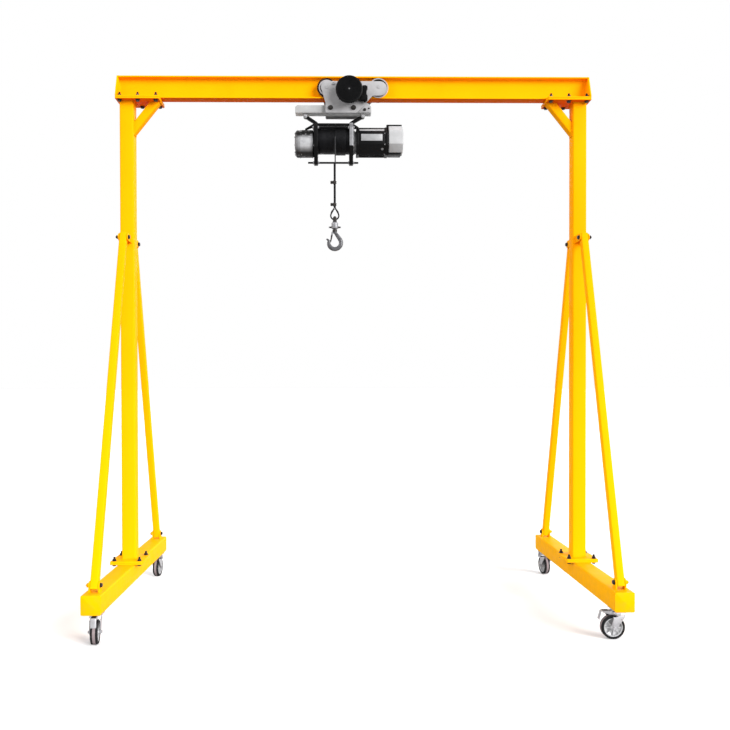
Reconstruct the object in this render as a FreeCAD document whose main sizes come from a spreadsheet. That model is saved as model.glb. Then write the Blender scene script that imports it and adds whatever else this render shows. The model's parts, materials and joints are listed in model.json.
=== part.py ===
import FreeCAD, Part
import os
import re
import Sketcher
from FreeCAD import Placement, Rotation, Vector

# Portable gantry crane: two A-frame legs on swivel casters, an I-section beam bolted across them, and a
# motor trolley on the beam that carries a wire rope hoist.
# X runs along the beam, Z is up, and the front of the crane faces -Y. The origin is on the floor, at the
# middle of the crane. All sizes are in millimetres.

SIZES = {
    # legs and beam
    "leg_spacing": 3300, "column_height": 3330, "column_size": 100, "column_wall": 5,
    "base_length": 1900, "base_size": 125, "base_wall": 5, "cap_thickness": 5,
    "beam_overhang": 70, "beam_depth": 160, "beam_flange_width": 88, "beam_web": 6,
    "beam_flange_thickness": 10, "end_plate_thickness": 10,
    # bolted plates
    "plate_thickness": 12, "head_plate_length": 316, "head_plate_width": 200, "head_bolt_pitch": 130,
    "head_bolt_gauge": 144, "foot_plate_width": 230, "foot_plate_length": 260, "foot_bolt_gauge": 180,
    "foot_bolt_pitch": 200, "bolt_hole_radius": 9,
    # bracing
    "knee_size": 60, "knee_wall": 4, "knee_reach": 152, "knee_drop": 190,
    "brace_size": 50, "brace_wall": 4, "brace_top_height": 2671, "brace_top_reach": 93,
    "brace_foot_inset": 90, "brace_foot_rise": 42, "brace_end": 25,
    "lug_thickness": 8, "lug_radius": 27, "lug_gap": 52, "pin_radius": 8, "pin_clearance": 0.3,
    "pin_head_radius": 13, "pin_head_length": 12,
    # casters
    "wheel_headroom": 20.7, "caster_inset": 110, "caster_plate_size": 110, "caster_plate_thickness": 6,
    "race_radius": 34, "race_height": 8, "kingpin_radius": 9, "kingpin_head_radius": 15,
    "kingpin_head_height": 5, "running_gap": 0.3, "fork_top_thickness": 10, "fork_half_length": 36,
    "fork_gap": 60, "fork_wall": 5, "fork_foot_radius": 16, "caster_trail": 39, "wheel_radius": 75,
    "tyre_width": 46, "tyre_depth": 15, "tyre_crown": 5, "hub_radius": 17, "hub_width": 56,
    "hub_web": 10, "rim_depth": 7, "rim_width": 40, "axle_radius": 6, "axle_head_radius": 11,
    "axle_head_length": 8, "hub_gap": 0.1, "pedal_width": 34, "pedal_thickness": 4, "pedal_gap": 2,
    "pedal_drop": 57, "pedal_lean": 14, "cheek_shoulder": 27, "cheek_shoulder_drop": 42,
    # trolley
    "trolley_wheel_left": 199, "trolley_wheel_right": 178, "tread_radius": 62, "tread_width": 32,
    "flange_radius": 71,
    "flange_width": 9, "flange_clearance": 3, "wheel_side_gap": 6, "trolley_plate_thickness": 10,
    "trolley_axle_radius": 12, "left_arm_radius": 42, "right_arm_radius": 52, "right_arm_reach": 8,
    "right_arm_drop": 10, "arm_waist": 30, "body_left": 208, "body_right": 20,
    "body_bottom": 114, "body_top": 40, "trolley_bolt_left": 171, "trolley_bolt_right": 4,
    "trolley_bolt_drop": 77, "trolley_bolt_radius": 9, "trolley_bolt_head": 15, "trolley_bolt_stick": 14,
    "trolley_spacer_radius": 13, "drive_radius": 97, "drive_length": 80, "drive_neck_radius": 60,
    "drive_neck_length": 50, "drive_x": 37, "drive_rise": 30,
    "terminal_width": 36, "terminal_rise": 40, "terminal_height": 104, "terminal_depth": 40,
    "terminal_foot_width": 66, "terminal_foot_height": 33,
    # suspension bar and hangers
    "bar_left": 428, "bar_right": 126, "bar_width": 80, "bar_wall": 6, "bar_drop": 48, "bar_height": 55,
    "bar_step": 17, "bar_end_top": 32, "bar_chamfer": 26, "ear_radius": 15, "ear_thickness": 6,
    "hanger_pin_drop": 118, "hanger_left": 355, "hanger_right": 65, "hanger_thickness": 24,
    "hanger_radius": 11, "hanger_pin_radius": 7, "hanger_pin_stick": 6,
    # hoist
    "drum_drop": 297, "drum_radius": 96, "drum_flange_depth": 8, "drum_flange_thickness": 6,
    "drum_left": 262, "drum_right": 37, "drum_end_gap": 2, "drum_shaft_radius": 20, "frame_thickness": 28,
    "frame_half_width": 106, "frame_rise": 104, "frame_waist": 70, "frame_foot": 176,
    "frame_foot_half_width": 22, "frame_chamfer": 34, "boss_half_width": 24, "boss_rise": 129,
    "rib_thickness": 12, "rib_width": 13, "left_rib_reach": 66, "right_rib_reach": 42,
    "top_bar_height": 20, "top_bar_thickness": 16, "tie_rod_radius": 7,
    "rope_side_gap": 1.3, "tie_rod_rise": 88, "tie_rod_fall": 159, "upper_rod_left": 34,
    "upper_rod_right": 21, "lower_rod_left": 45, "lower_rod_right": 39,
    "gearbox_radius": 99, "gearbox_length": 135, "gearbox_sink": 23, "gearbox_chamfer": 12,
    "motor_size": 201, "motor_length": 229, "motor_corner": 58.8, "motor_sink": 12, "ring_radius": 86,
    "ring_thickness": 22, "cover_length": 112, "cover_size": 193, "cover_corner": 50,
    # rope and hook
    "rope_x": 142, "rope_radius": 4, "rope_lap": 0.2, "rope_length": 189, "doubled_length": 318,
    "clip_size": 30, "clip_height": 24, "clip_first": 139, "clip_second": 298, "eye_radius": 34,
    "eye_wall": 8, "eye_drop": 378, "swivel_radius": 24, "swivel_height": 47, "swivel_drop": 426,
    "clevis_gap": 12, "clevis_thickness": 7, "clevis_width": 26, "clevis_sink": 4, "clevis_pin_radius": 7,
    "cross_pin_radius": 6, "cross_pin_half_length": 44, "cross_pin_drop": 36, "cross_pin_sink": 2,
    "shank_radius": 9, "shank_depth": 30, "shank_end_gap": 1,
    "hook_ring_radius": 47, "hook_thickness": 13, "hook_drop": 574, "hook_end_angle": 65,
    "hook_sweep": 267, "hook_neck_rise": 78, "hook_neck_radius": 11, "hook_lug_width": 8,
    "hook_lug_size": 13, "latch_thickness": 4, "latch_cheek": 2, "latch_pin_radius": 3,
    "latch_pivot_x": 18, "latch_pivot_rise": 74, "latch_reach": 72, "latch_angle": 9.9,
}

# Heights and places that follow from the sizes
CASTER_HEIGHT = ("(2 * wheel_radius + wheel_headroom + fork_top_thickness + running_gap + race_height"
                 " + caster_plate_thickness)")
BASE_TOP = f"({CASTER_HEIGHT} + base_size)"
COLUMN_FOOT = f"({BASE_TOP} + 2 * plate_thickness)"
COLUMN_TOP = f"({COLUMN_FOOT} + column_height)"
BEAM_BOTTOM = f"({COLUMN_TOP} + 2 * plate_thickness)"
BEAM_TOP = f"({BEAM_BOTTOM} + beam_depth)"
BEAM_LENGTH = "(leg_spacing + 2 * beam_overhang)"
BRACE_TOP_Y = "(column_size / 2 + brace_top_reach)"
BRACE_FOOT_Y = "(base_length / 2 - brace_foot_inset)"
BRACE_FOOT_Z = f"({BASE_TOP} + brace_foot_rise)"
CASTER_Y = "(base_length / 2 - caster_inset)"
RACE_BOTTOM = f"({CASTER_HEIGHT} - caster_plate_thickness - race_height)"
FORK_TOP = f"({RACE_BOTTOM} - running_gap)"
TROLLEY_WHEEL_Z = f"({BEAM_BOTTOM} + beam_flange_thickness + tread_radius + running_gap)"
TREAD_START_Y = "(beam_flange_width / 2 + flange_clearance - tread_width)"
FLANGE_START_Y = "(beam_flange_width / 2 + flange_clearance)"
PLATE_Y = f"({FLANGE_START_Y} + flange_width + wheel_side_gap)"
BAR_TOP = f"({BEAM_BOTTOM} - bar_drop)"
DRUM_Z = f"({BEAM_BOTTOM} - drum_drop)"
ROPE_Y = "(drum_radius + rope_radius + running_gap)"
ROPE_LOW = f"({DRUM_Z} - rope_length)"
TIE_ROD_Y = "(drum_radius + running_gap - rope_side_gap - tie_rod_radius)"

doc = FreeCAD.newDocument("gantry_crane")
sheet = doc.addObject("Spreadsheet::Sheet", "Sizes")
for row, (alias, number) in enumerate(SIZES.items(), start=1):
    sheet.set(f"A{row}", alias.replace("_", " "))
    sheet.set(f"B{row}", str(number))
    sheet.setAlias(f"B{row}", alias)
doc.recompute()


def formula(text):
    """Turns plain size names into references to the sheet's cells."""
    return re.sub(r"[a-z_]+", lambda word: f"Sizes.{word[0]}" if word[0] in SIZES else word[0], str(text))


def value(text):
    """The present value of a formula."""
    result = sheet.evalExpression(formula(text))
    return float(getattr(result, "Value", result))


def bind(item, prop, text):
    item.setExpression(prop, formula(text))


def new_body(label, x="0", y="0", z="0", turn=0):
    """A body placed at x, y, z and turned about the vertical by a fixed number of degrees."""
    body = doc.addObject("PartDesign::Body", label)
    body.Label = label
    body.Placement = Placement(Vector(), Rotation(Vector(0, 0, 1), turn))
    for axis, text in zip("xyz", (x, y, z)):
        bind(body, f"Placement.Base.{axis}", text)
    return body


def new_sketch(body, plane, offset="0"):
    """A sketch on one of the body's origin planes, moved along the plane's normal."""
    sketch = body.newObject("Sketcher::SketchObject", f"{body.Name}_sketch")
    support = next(item for item in body.Origin.OriginFeatures if item.Role == f"{plane}_Plane")
    sketch.AttachmentSupport = [(support, "")]
    sketch.MapMode = "FlatFace"
    bind(sketch, "AttachmentOffset.Base.z", offset)
    return sketch


def locate(sketch, geometry, point, x, y):
    """Ties a point of the sketch to two formulas, measured from the sketch's origin."""
    for kind, text in (("DistanceX", x), ("DistanceY", y)):
        index = sketch.addConstraint(Sketcher.Constraint(kind, -1, 1, geometry, point, value(text)))
        bind(sketch, f"Constraints[{index}]", text)


def draw_outline(sketch, points):
    """A closed outline of straight lines through the points."""
    first = sketch.GeometryCount
    ends = [Vector(value(x), value(y), 0) for x, y in points]
    for index, start in enumerate(ends):
        sketch.addGeometry(Part.LineSegment(start, ends[(index + 1) % len(ends)]), False)
    for index, (x, y) in enumerate(points):
        following = first + (index + 1) % len(points)
        sketch.addConstraint(Sketcher.Constraint("Coincident", first + index, 2, following, 1))
        locate(sketch, first + index, 1, x, y)
    return sketch


def draw_rectangle(sketch, left, bottom, right, top):
    return draw_outline(sketch, [(left, bottom), (right, bottom), (right, top), (left, top)])


def draw_circle(sketch, x, y, radius):
    centre = Vector(value(x), value(y), 0)
    index = sketch.addGeometry(Part.Circle(centre, Vector(0, 0, 1), value(radius)), False)
    locate(sketch, index, 3, x, y)
    constraint = sketch.addConstraint(Sketcher.Constraint("Radius", index, value(radius)))
    bind(sketch, f"Constraints[{constraint}]", radius)
    return sketch


def extrude(body, sketch, length, both_ways=False):
    pad = body.newObject("PartDesign::Pad", f"{body.Name}_pad")
    pad.Profile = sketch
    pad.SideType = "Symmetric" if both_ways else "One side"
    bind(pad, "Length", length)
    doc.recompute()
    return pad


def cut(body, sketch, length, both_ways=True):
    """Cuts the sketch out of the body, and checks that something was cut away."""
    before = body.Shape.Volume
    pocket = body.newObject("PartDesign::Pocket", f"{body.Name}_pocket")
    pocket.Profile = sketch
    pocket.SideType = "Symmetric" if both_ways else "One side"
    bind(pocket, "Length", length)
    doc.recompute()
    if body.Shape.Volume >= before:
        raise RuntimeError(f"{body.Label}: a pocket cut nothing")
    return pocket


def revolve(body, sketch, axis="V_Axis"):
    revolution = body.newObject("PartDesign::Revolution", f"{body.Name}_revolution")
    revolution.Profile = sketch
    revolution.ReferenceAxis = (sketch, [axis])
    revolution.Angle = 360
    doc.recompute()
    return revolution


def box_pad(body, low, high):
    """A block between two corners, each given as three formulas."""
    sketch = new_sketch(body, "XY", low[2])
    draw_rectangle(sketch, low[0], low[1], high[0], high[1])
    return extrude(body, sketch, f"({high[2]}) - ({low[2]})")


def rod_pad(body, plane, x, y, radius, start, end):
    """A round rod normal to a plane; on the XZ plane its ends are measured towards -Y."""
    sketch = new_sketch(body, plane, start)
    draw_circle(sketch, x, y, radius)
    return extrude(body, sketch, f"({end}) - ({start})")


def join(label, bodies):
    """One node made of several bodies that do not touch."""
    compound = doc.addObject("Part::Compound", label)
    compound.Label = label
    compound.Links = bodies
    doc.recompute()
    return compound


SIDES = {"left": ("-leg_spacing / 2", 0), "right": ("leg_spacing / 2", 180)}


def on_both_sides(make, label, *sizes):
    """Makes a piece for the left leg and the same piece turned round for the right leg."""
    return [make(f"{side}_{label}", x, turn, *sizes) for side, (x, turn) in SIDES.items()]


# ---------------------------------------------------------------- beam

def make_main_beam():
    body = new_body("main_beam", z=BEAM_BOTTOM)
    flange = "beam_flange_width / 2"
    web = "beam_web / 2"
    low = "beam_flange_thickness"
    high = "(beam_depth - beam_flange_thickness)"
    sketch = new_sketch(body, "YZ")
    right = [(flange, "0"), (flange, low), (web, low), (web, high), (flange, high), (flange, "beam_depth")]
    left = [(f"-{y}", z) for y, z in reversed(right)]
    draw_outline(sketch, right + left)
    extrude(body, sketch, f"{BEAM_LENGTH} - 2 * end_plate_thickness", both_ways=True)
    return body


def make_beam_end_plate(label, x, turn):
    body = new_body(label, x, z=BEAM_BOTTOM, turn=turn)
    sketch = new_sketch(body, "YZ", "-beam_overhang")
    draw_outline(sketch, [("-head_plate_width / 2", "0"), ("head_plate_width / 2", "0"),
                          ("beam_flange_width / 2", "beam_depth"), ("-beam_flange_width / 2", "beam_depth")])
    extrude(body, sketch, "end_plate_thickness")
    return body


def make_head_plate(label, x, turn, bottom):
    """A plate under the beam's end with two rows of three bolt holes."""
    body = new_body(label, x, z=bottom, turn=turn)
    middle = "(head_plate_length / 2 - beam_overhang)"
    box_pad(body, (f"{middle} - head_plate_length / 2", "-head_plate_width / 2", "0"),
            (f"{middle} + head_plate_length / 2", "head_plate_width / 2", "plate_thickness"))
    holes = new_sketch(body, "XY")
    for step in (-1, 0, 1):
        for row in ("-head_bolt_gauge / 2", "head_bolt_gauge / 2"):
            draw_circle(holes, f"{middle} + {step} * head_bolt_pitch", row, "bolt_hole_radius")
    cut(body, holes, "4 * plate_thickness")
    return body


# ---------------------------------------------------------------- legs

def make_column(label, x, turn):
    body = new_body(label, x, z=COLUMN_FOOT, turn=turn)
    outside = "column_size / 2"
    inside = "(column_size / 2 - column_wall)"
    sketch = new_sketch(body, "XY")
    draw_rectangle(sketch, f"-{outside}", f"-{outside}", outside, outside)
    draw_rectangle(sketch, f"-{inside}", f"-{inside}", inside, inside)
    extrude(body, sketch, "column_height")
    return body


def make_knee_brace(label, x, turn):
    """A square tube from the column's inner face up to the head plate, cut to both."""
    body = new_body(label, x, z=COLUMN_TOP, turn=turn)
    slope = "sqrt(knee_reach * knee_reach + knee_drop * knee_drop)"
    for width, depth, carve in (("knee_size", "knee_size", False),
                                ("(knee_size - 2 * knee_wall)", "knee_size - 2 * knee_wall", True)):
        rise = f"{width} / 2 * {slope} / knee_reach"
        run = f"{width} / 2 * {slope} / knee_drop"
        sketch = new_sketch(body, "XZ")
        draw_outline(sketch, [("column_size / 2", f"-knee_drop - {rise}"),
                              (f"column_size / 2 + knee_reach + {run}", "0"),
                              (f"column_size / 2 + knee_reach - {run}", "0"),
                              ("column_size / 2", f"-knee_drop + {rise}")])
        if carve:
            cut(body, sketch, depth)
        else:
            extrude(body, sketch, depth, both_ways=True)
    return body


def make_foot_plate(label, x, turn, bottom):
    """A plate between column and base beam with a bolt hole near each corner."""
    body = new_body(label, x, z=bottom, turn=turn)
    box_pad(body, ("-foot_plate_width / 2", "-foot_plate_length / 2", "0"),
            ("foot_plate_width / 2", "foot_plate_length / 2", "plate_thickness"))
    holes = new_sketch(body, "XY")
    for across in ("-foot_bolt_gauge / 2", "foot_bolt_gauge / 2"):
        for along in ("-foot_bolt_pitch / 2", "foot_bolt_pitch / 2"):
            draw_circle(holes, across, along, "bolt_hole_radius")
    cut(body, holes, "4 * plate_thickness")
    return body


def make_base_beam(label, x, turn):
    body = new_body(label, x, z=f"{CASTER_HEIGHT} + base_size / 2", turn=turn)
    outside = "base_size / 2"
    inside = "(base_size / 2 - base_wall)"
    sketch = new_sketch(body, "XZ")
    draw_rectangle(sketch, f"-{outside}", f"-{outside}", outside, outside)
    draw_rectangle(sketch, f"-{inside}", f"-{inside}", inside, inside)
    extrude(body, sketch, "base_length - 2 * cap_thickness", both_ways=True)
    return body


def make_base_cap(label, x, turn, end):
    body = new_body(label, x, f"{end} * (base_length / 2 - cap_thickness / 2)", CASTER_HEIGHT, turn)
    sketch = new_sketch(body, "XZ")
    draw_rectangle(sketch, "-base_size / 2", "0", "base_size / 2", "base_size")
    extrude(body, sketch, "cap_thickness", both_ways=True)
    return body


def make_brace(label, x, end):
    """A square tube between two pins, leaning in to the column; its own Z runs from foot to top."""
    body = new_body(label, x, f"{end} * {BRACE_FOOT_Y}", BRACE_FOOT_Z)
    run = f"({BRACE_FOOT_Y} - {BRACE_TOP_Y})"
    rise = f"(brace_top_height - {BRACE_FOOT_Z})"
    length = f"sqrt({run} * {run} + {rise} * {rise})"
    body.Placement = Placement(body.Placement.Base, Rotation(Vector(1, 0, 0), 1))
    bind(body, "Placement.Rotation.Angle", f"{end} * atan({run} / {rise})")
    outside = "brace_size / 2"
    inside = "(brace_size / 2 - brace_wall)"
    sketch = new_sketch(body, "XY", "-brace_end")
    draw_rectangle(sketch, f"-{outside}", f"-{outside}", outside, outside)
    draw_rectangle(sketch, f"-{inside}", f"-{inside}", inside, inside)
    extrude(body, sketch, f"{length} + 2 * brace_end")
    holes = new_sketch(body, "YZ")
    for height in ("0", length):
        draw_circle(holes, "0", height, "pin_radius + pin_clearance")
    cut(body, holes, "2 * brace_size")
    return body


def make_lug(label, x, y, z, start, hand, upright):
    """An ear with a round end about the pin; start is where it is welded, measured from the pin."""
    body = new_body(label, x, y, z)
    inner = "lug_gap / 2" if hand > 0 else "-lug_gap / 2 - lug_thickness"
    sketch = new_sketch(body, "YZ", inner)
    draw_circle(sketch, "0", "0", "lug_radius")
    extrude(body, sketch, "lug_thickness")
    sketch = new_sketch(body, "YZ", inner)
    if upright:
        draw_rectangle(sketch, "-lug_radius", f"-({start})", "lug_radius", "0")
    elif value(start) < 0:
        draw_rectangle(sketch, start, "-lug_radius", "0", "lug_radius")
    else:
        draw_rectangle(sketch, "0", "-lug_radius", start, "lug_radius")
    extrude(body, sketch, "lug_thickness")
    hole = new_sketch(body, "YZ")
    draw_circle(hole, "0", "0", "pin_radius + pin_clearance")
    cut(body, hole, "4 * lug_gap")
    return body


def make_brace_pin(label, x, y, z):
    """A bolt along X through two lugs and a brace, with a head at one end and a nut at the other."""
    body = new_body(label, x, y, z)
    face = "(lug_gap / 2 + lug_thickness)"
    rod_pad(body, "YZ", "0", "0", "pin_radius", f"-{face} - 2 * pin_head_length",
            f"{face} + pin_head_length")
    rod_pad(body, "YZ", "0", "0", "pin_head_radius", face, f"{face} + pin_head_length")
    rod_pad(body, "YZ", "0", "0", "pin_head_radius", f"-{face} - pin_head_length", f"-{face}")
    return body


# ---------------------------------------------------------------- casters

# Each caster's place, and the way its fork points in degrees; the wheels stand as they were last pushed
CASTERS = {
    "left_front": ("-leg_spacing / 2", f"-{CASTER_Y}", 99),
    "left_rear": ("-leg_spacing / 2", CASTER_Y, -95),
    "right_front": ("leg_spacing / 2", f"-{CASTER_Y}", 0),
    "right_rear": ("leg_spacing / 2", CASTER_Y, -81),
}


def make_caster_plate(label, x, y):
    """The top plate with its ball race and kingpin."""
    body = new_body(label, x, y)
    half = "caster_plate_size / 2"
    under = f"({CASTER_HEIGHT} - caster_plate_thickness)"
    box_pad(body, (f"-{half}", f"-{half}", under), (half, half, CASTER_HEIGHT))
    rod_pad(body, "XY", "0", "0", "race_radius", RACE_BOTTOM, under)
    head = f"{FORK_TOP} - fork_top_thickness - running_gap"
    rod_pad(body, "XY", "0", "0", "kingpin_radius", head, RACE_BOTTOM)
    rod_pad(body, "XY", "0", "0", "kingpin_head_radius", f"{head} - kingpin_head_height", head)
    return body


def make_caster_fork(label, x, y, turn):
    """A pressed fork round the wheel, its axle bolt, and a brake pedal over the tyre."""
    body = new_body(label, x, y, turn=turn)
    outer = "(fork_gap / 2 + fork_wall)"
    box_pad(body, ("-fork_half_length", f"-{outer}", f"{FORK_TOP} - fork_top_thickness"),
            ("fork_half_length", outer, FORK_TOP))
    for start in (f"-{outer}", "fork_gap / 2"):
        leg = new_sketch(body, "XZ", start)
        draw_outline(leg, [("-fork_half_length", FORK_TOP), ("fork_half_length", FORK_TOP),
                           ("cheek_shoulder", f"{FORK_TOP} - cheek_shoulder_drop"),
                           ("-caster_trail + fork_foot_radius", "wheel_radius"),
                           ("-caster_trail - fork_foot_radius", "wheel_radius")])
        extrude(body, leg, "fork_wall")
        rod_pad(body, "XZ", "-caster_trail", "wheel_radius", "fork_foot_radius", start,
                f"{start} + fork_wall")
    rod_pad(body, "XZ", "-caster_trail", "wheel_radius", "axle_radius", f"-{outer} - axle_head_length",
            f"{outer} + axle_head_length")
    for start in (f"-{outer} - axle_head_length", outer):
        rod_pad(body, "XZ", "-caster_trail", "wheel_radius", "axle_head_radius", start,
                f"{start} + axle_head_length")
    pedal = new_sketch(body, "XZ")
    far = "(-caster_trail - wheel_radius - pedal_gap)"
    draw_outline(pedal, [("-fork_half_length", FORK_TOP), (far, FORK_TOP),
                         (f"{far} - pedal_lean", f"{FORK_TOP} - pedal_drop"),
                         (f"{far} - pedal_lean + pedal_thickness", f"{FORK_TOP} - pedal_drop"),
                         (f"{far} + pedal_thickness", f"{FORK_TOP} - pedal_thickness"),
                         ("-fork_half_length", f"{FORK_TOP} - pedal_thickness")])
    extrude(body, pedal, "pedal_width", both_ways=True)
    bore = new_sketch(body, "XY", FORK_TOP)
    draw_circle(bore, "0", "0", "kingpin_radius + running_gap")
    cut(body, bore, "4 * fork_top_thickness", both_ways=True)
    return body


def place_wheel(label, x, y, turn):
    """A body whose origin is at the wheel's centre, behind the swivel by the trail."""
    across = f"{x} - caster_trail * cos({turn}deg)"
    along = f"{y} - caster_trail * sin({turn}deg)"
    return new_body(label, across, along, "wheel_radius", turn)


def make_caster_tyre(label, x, y, turn):
    body = place_wheel(label, x, y, turn)
    sketch = new_sketch(body, "XY")
    seat = "wheel_radius - tyre_depth"
    half = "tyre_width / 2"
    shoulder = "wheel_radius - tyre_crown"
    draw_outline(sketch, [(seat, f"-{half}"), (shoulder, f"-{half}"),
                          ("wheel_radius", f"-{half} + tyre_crown"),
                          ("wheel_radius", f"{half} - tyre_crown"), (shoulder, half), (seat, half)])
    revolve(body, sketch)
    return body


def make_caster_hub(label, x, y, turn):
    """The cast wheel centre: a rim, a web and a bored boss."""
    body = place_wheel(label, x, y, turn)
    sketch = new_sketch(body, "XY")
    bore = "axle_radius + running_gap"
    rim_out = "wheel_radius - tyre_depth - hub_gap"
    rim_in = "wheel_radius - tyre_depth - rim_depth"
    half = [(bore, "hub_width / 2"), ("hub_radius", "hub_width / 2"), ("hub_radius", "hub_web / 2"),
            (rim_in, "hub_web / 2"), (rim_in, "rim_width / 2"), (rim_out, "rim_width / 2")]
    draw_outline(sketch, half + [(radius, f"-{width}") for radius, width in reversed(half)])
    revolve(body, sketch)
    return body


# ---------------------------------------------------------------- trolley

def make_trolley_plate(label, hand):
    """A side plate: a body below the beam and an arm up to each wheel axle."""
    body = new_body(label)
    start = PLATE_Y if hand < 0 else f"-{PLATE_Y} - trolley_plate_thickness"
    thick = "trolley_plate_thickness"
    top = f"{BEAM_BOTTOM} - body_top"
    bottom = f"{BEAM_BOTTOM} - body_bottom"
    sketch = new_sketch(body, "XZ", start)
    arm_x = "(trolley_wheel_right + right_arm_reach)"
    arm_z = f"({TROLLEY_WHEEL_Z} - right_arm_drop)"
    draw_outline(sketch, [("-body_left", bottom), ("body_right", bottom),
                          (f"{arm_x} - right_arm_radius", f"{arm_z} - right_arm_radius"),
                          (arm_x, f"{arm_z} - right_arm_radius"), (arm_x, f"{arm_z} + right_arm_radius"),
                          ("-trolley_wheel_left", f"{TROLLEY_WHEEL_Z} + left_arm_radius"),
                          ("-trolley_wheel_left - arm_waist", f"{TROLLEY_WHEEL_Z} - arm_waist"),
                          ("-body_left", top)])
    extrude(body, sketch, thick)
    rod_pad(body, "XZ", "-trolley_wheel_left", TROLLEY_WHEEL_Z, "left_arm_radius", start,
            f"{start} + {thick}")
    rod_pad(body, "XZ", arm_x, arm_z, "right_arm_radius", start, f"{start} + {thick}")
    holes = new_sketch(body, "XZ")
    for x in ("-trolley_bolt_left", "-trolley_bolt_right"):
        draw_circle(holes, x, f"{BEAM_BOTTOM} - trolley_bolt_drop", "trolley_bolt_radius + pin_clearance")
    cut(body, holes, f"4 * {PLATE_Y}")
    for x in ("-trolley_wheel_left", "trolley_wheel_right"):
        inside = f"-{PLATE_Y}" if hand > 0 else f"{FLANGE_START_Y} - tread_width"
        outside = f"-({FLANGE_START_Y} - tread_width)" if hand > 0 else PLATE_Y
        rod_pad(body, "XZ", x, TROLLEY_WHEEL_Z, "trolley_axle_radius", inside, outside)
    return body


def make_trolley_bolt(label, x):
    """A through bolt that clamps both side plates and carries the suspension bar between its spacers."""
    body = new_body(label)
    height = f"{BEAM_BOTTOM} - trolley_bolt_drop"
    outer = f"({PLATE_Y} + trolley_plate_thickness)"
    tip = f"({outer} + trolley_bolt_stick)"
    rod_pad(body, "XZ", x, height, "trolley_bolt_radius", f"-{tip}", tip)
    for start, end in ((outer, tip), (f"-{tip}", f"-{outer}")):
        rod_pad(body, "XZ", x, height, "trolley_bolt_head", start, end)
    for start, end in (("bar_width / 2", PLATE_Y), (f"-{PLATE_Y}", "-bar_width / 2")):
        rod_pad(body, "XZ", x, height, "trolley_spacer_radius", start, end)
    return body


def make_trolley_wheel(label, x, hand):
    """A flanged wheel that runs on the beam's bottom flange."""
    body = new_body(label, x, z=TROLLEY_WHEEL_Z)
    sketch = new_sketch(body, "XY")
    bore = "trolley_axle_radius + running_gap"
    near = f"{hand} * {TREAD_START_Y}"
    step = f"{hand} * {FLANGE_START_Y}"
    far = f"{hand} * ({FLANGE_START_Y} + flange_width)"
    draw_outline(sketch, [(bore, near), ("tread_radius", near), ("tread_radius", step),
                          ("flange_radius", step), ("flange_radius", far), (bore, far)])
    revolve(body, sketch)
    return body


def make_trolley_motor():
    """The drive motor: a narrow neck clear of the clamp bolts, then the round motor."""
    body = new_body("trolley_motor")
    height = f"{BEAM_BOTTOM} + drive_rise"
    face = f"({PLATE_Y} + trolley_plate_thickness)"
    rod_pad(body, "XZ", "-drive_x", height, "drive_neck_radius", face, f"{face} + drive_neck_length")
    rod_pad(body, "XZ", "-drive_x", height, "drive_radius", f"{face} + drive_neck_length",
            f"{face} + drive_length")
    return body


def make_terminal_box():
    """The motor's terminal box, with a wider foot under the neck of the motor."""
    body = new_body("trolley_terminal_box")
    face = f"({PLATE_Y} + trolley_plate_thickness)"
    right = "(-drive_x + drive_radius + terminal_width)"
    top = f"({BEAM_BOTTOM} + drive_rise + terminal_rise)"
    foot = f"({top} - terminal_height)"
    box_pad(body, (f"{right} - terminal_width", f"-{face} - terminal_depth", foot), (right, f"-{face}", top))
    box_pad(body, (f"{right} - terminal_foot_width", f"-{face} - terminal_depth", foot),
            (right, f"-{face}", f"{foot} + terminal_foot_height"))
    return body


def make_suspension_bar():
    """A box bar under the beam with a taller end, and two pairs of ears below for the hangers."""
    body = new_body("suspension_bar")
    bottom = f"({BAR_TOP} - bar_height)"
    sketch = new_sketch(body, "XZ")
    draw_outline(sketch, [("-bar_left", bottom), ("bar_right", bottom),
                          ("bar_right", f"{BEAM_BOTTOM} - bar_end_top - bar_chamfer"),
                          ("bar_right - bar_chamfer", f"{BEAM_BOTTOM} - bar_end_top"),
                          ("bar_step + bar_chamfer", f"{BEAM_BOTTOM} - bar_end_top"),
                          ("bar_step", BAR_TOP), ("-bar_left + bar_chamfer / 2", BAR_TOP),
                          ("-bar_left", f"{BAR_TOP} - bar_chamfer / 2")])
    extrude(body, sketch, "bar_width", both_ways=True)
    hollow = new_sketch(body, "YZ")
    half = "(bar_width / 2 - bar_wall)"
    draw_rectangle(hollow, f"-{half}", f"{bottom} + bar_wall", half, f"{BAR_TOP} - bar_wall")
    cut(body, hollow, "4 * bar_left")
    holes = new_sketch(body, "XZ")
    for x in ("-trolley_bolt_left", "-trolley_bolt_right"):
        draw_circle(holes, x, f"{BEAM_BOTTOM} - trolley_bolt_drop", "trolley_bolt_radius + pin_clearance")
    cut(body, holes, f"4 * {PLATE_Y}")
    height = f"{BEAM_BOTTOM} - hanger_pin_drop"
    near = "(hanger_thickness / 2 + running_gap)"
    for x in ("-hanger_left", "hanger_right"):
        for start, end in ((near, f"{near} + ear_thickness"), (f"-{near} - ear_thickness", f"-{near}")):
            rod_pad(body, "XZ", x, height, "ear_radius", start, end)
            box_pad(body, (f"{x} - ear_radius", start, height), (f"{x} + ear_radius", end, bottom))
    eyes = new_sketch(body, "XZ")
    for x in ("-hanger_left", "hanger_right"):
        draw_circle(eyes, x, height, "hanger_pin_radius + pin_clearance")
    cut(body, eyes, "2 * bar_width")
    return body


# ---------------------------------------------------------------- hoist

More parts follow.
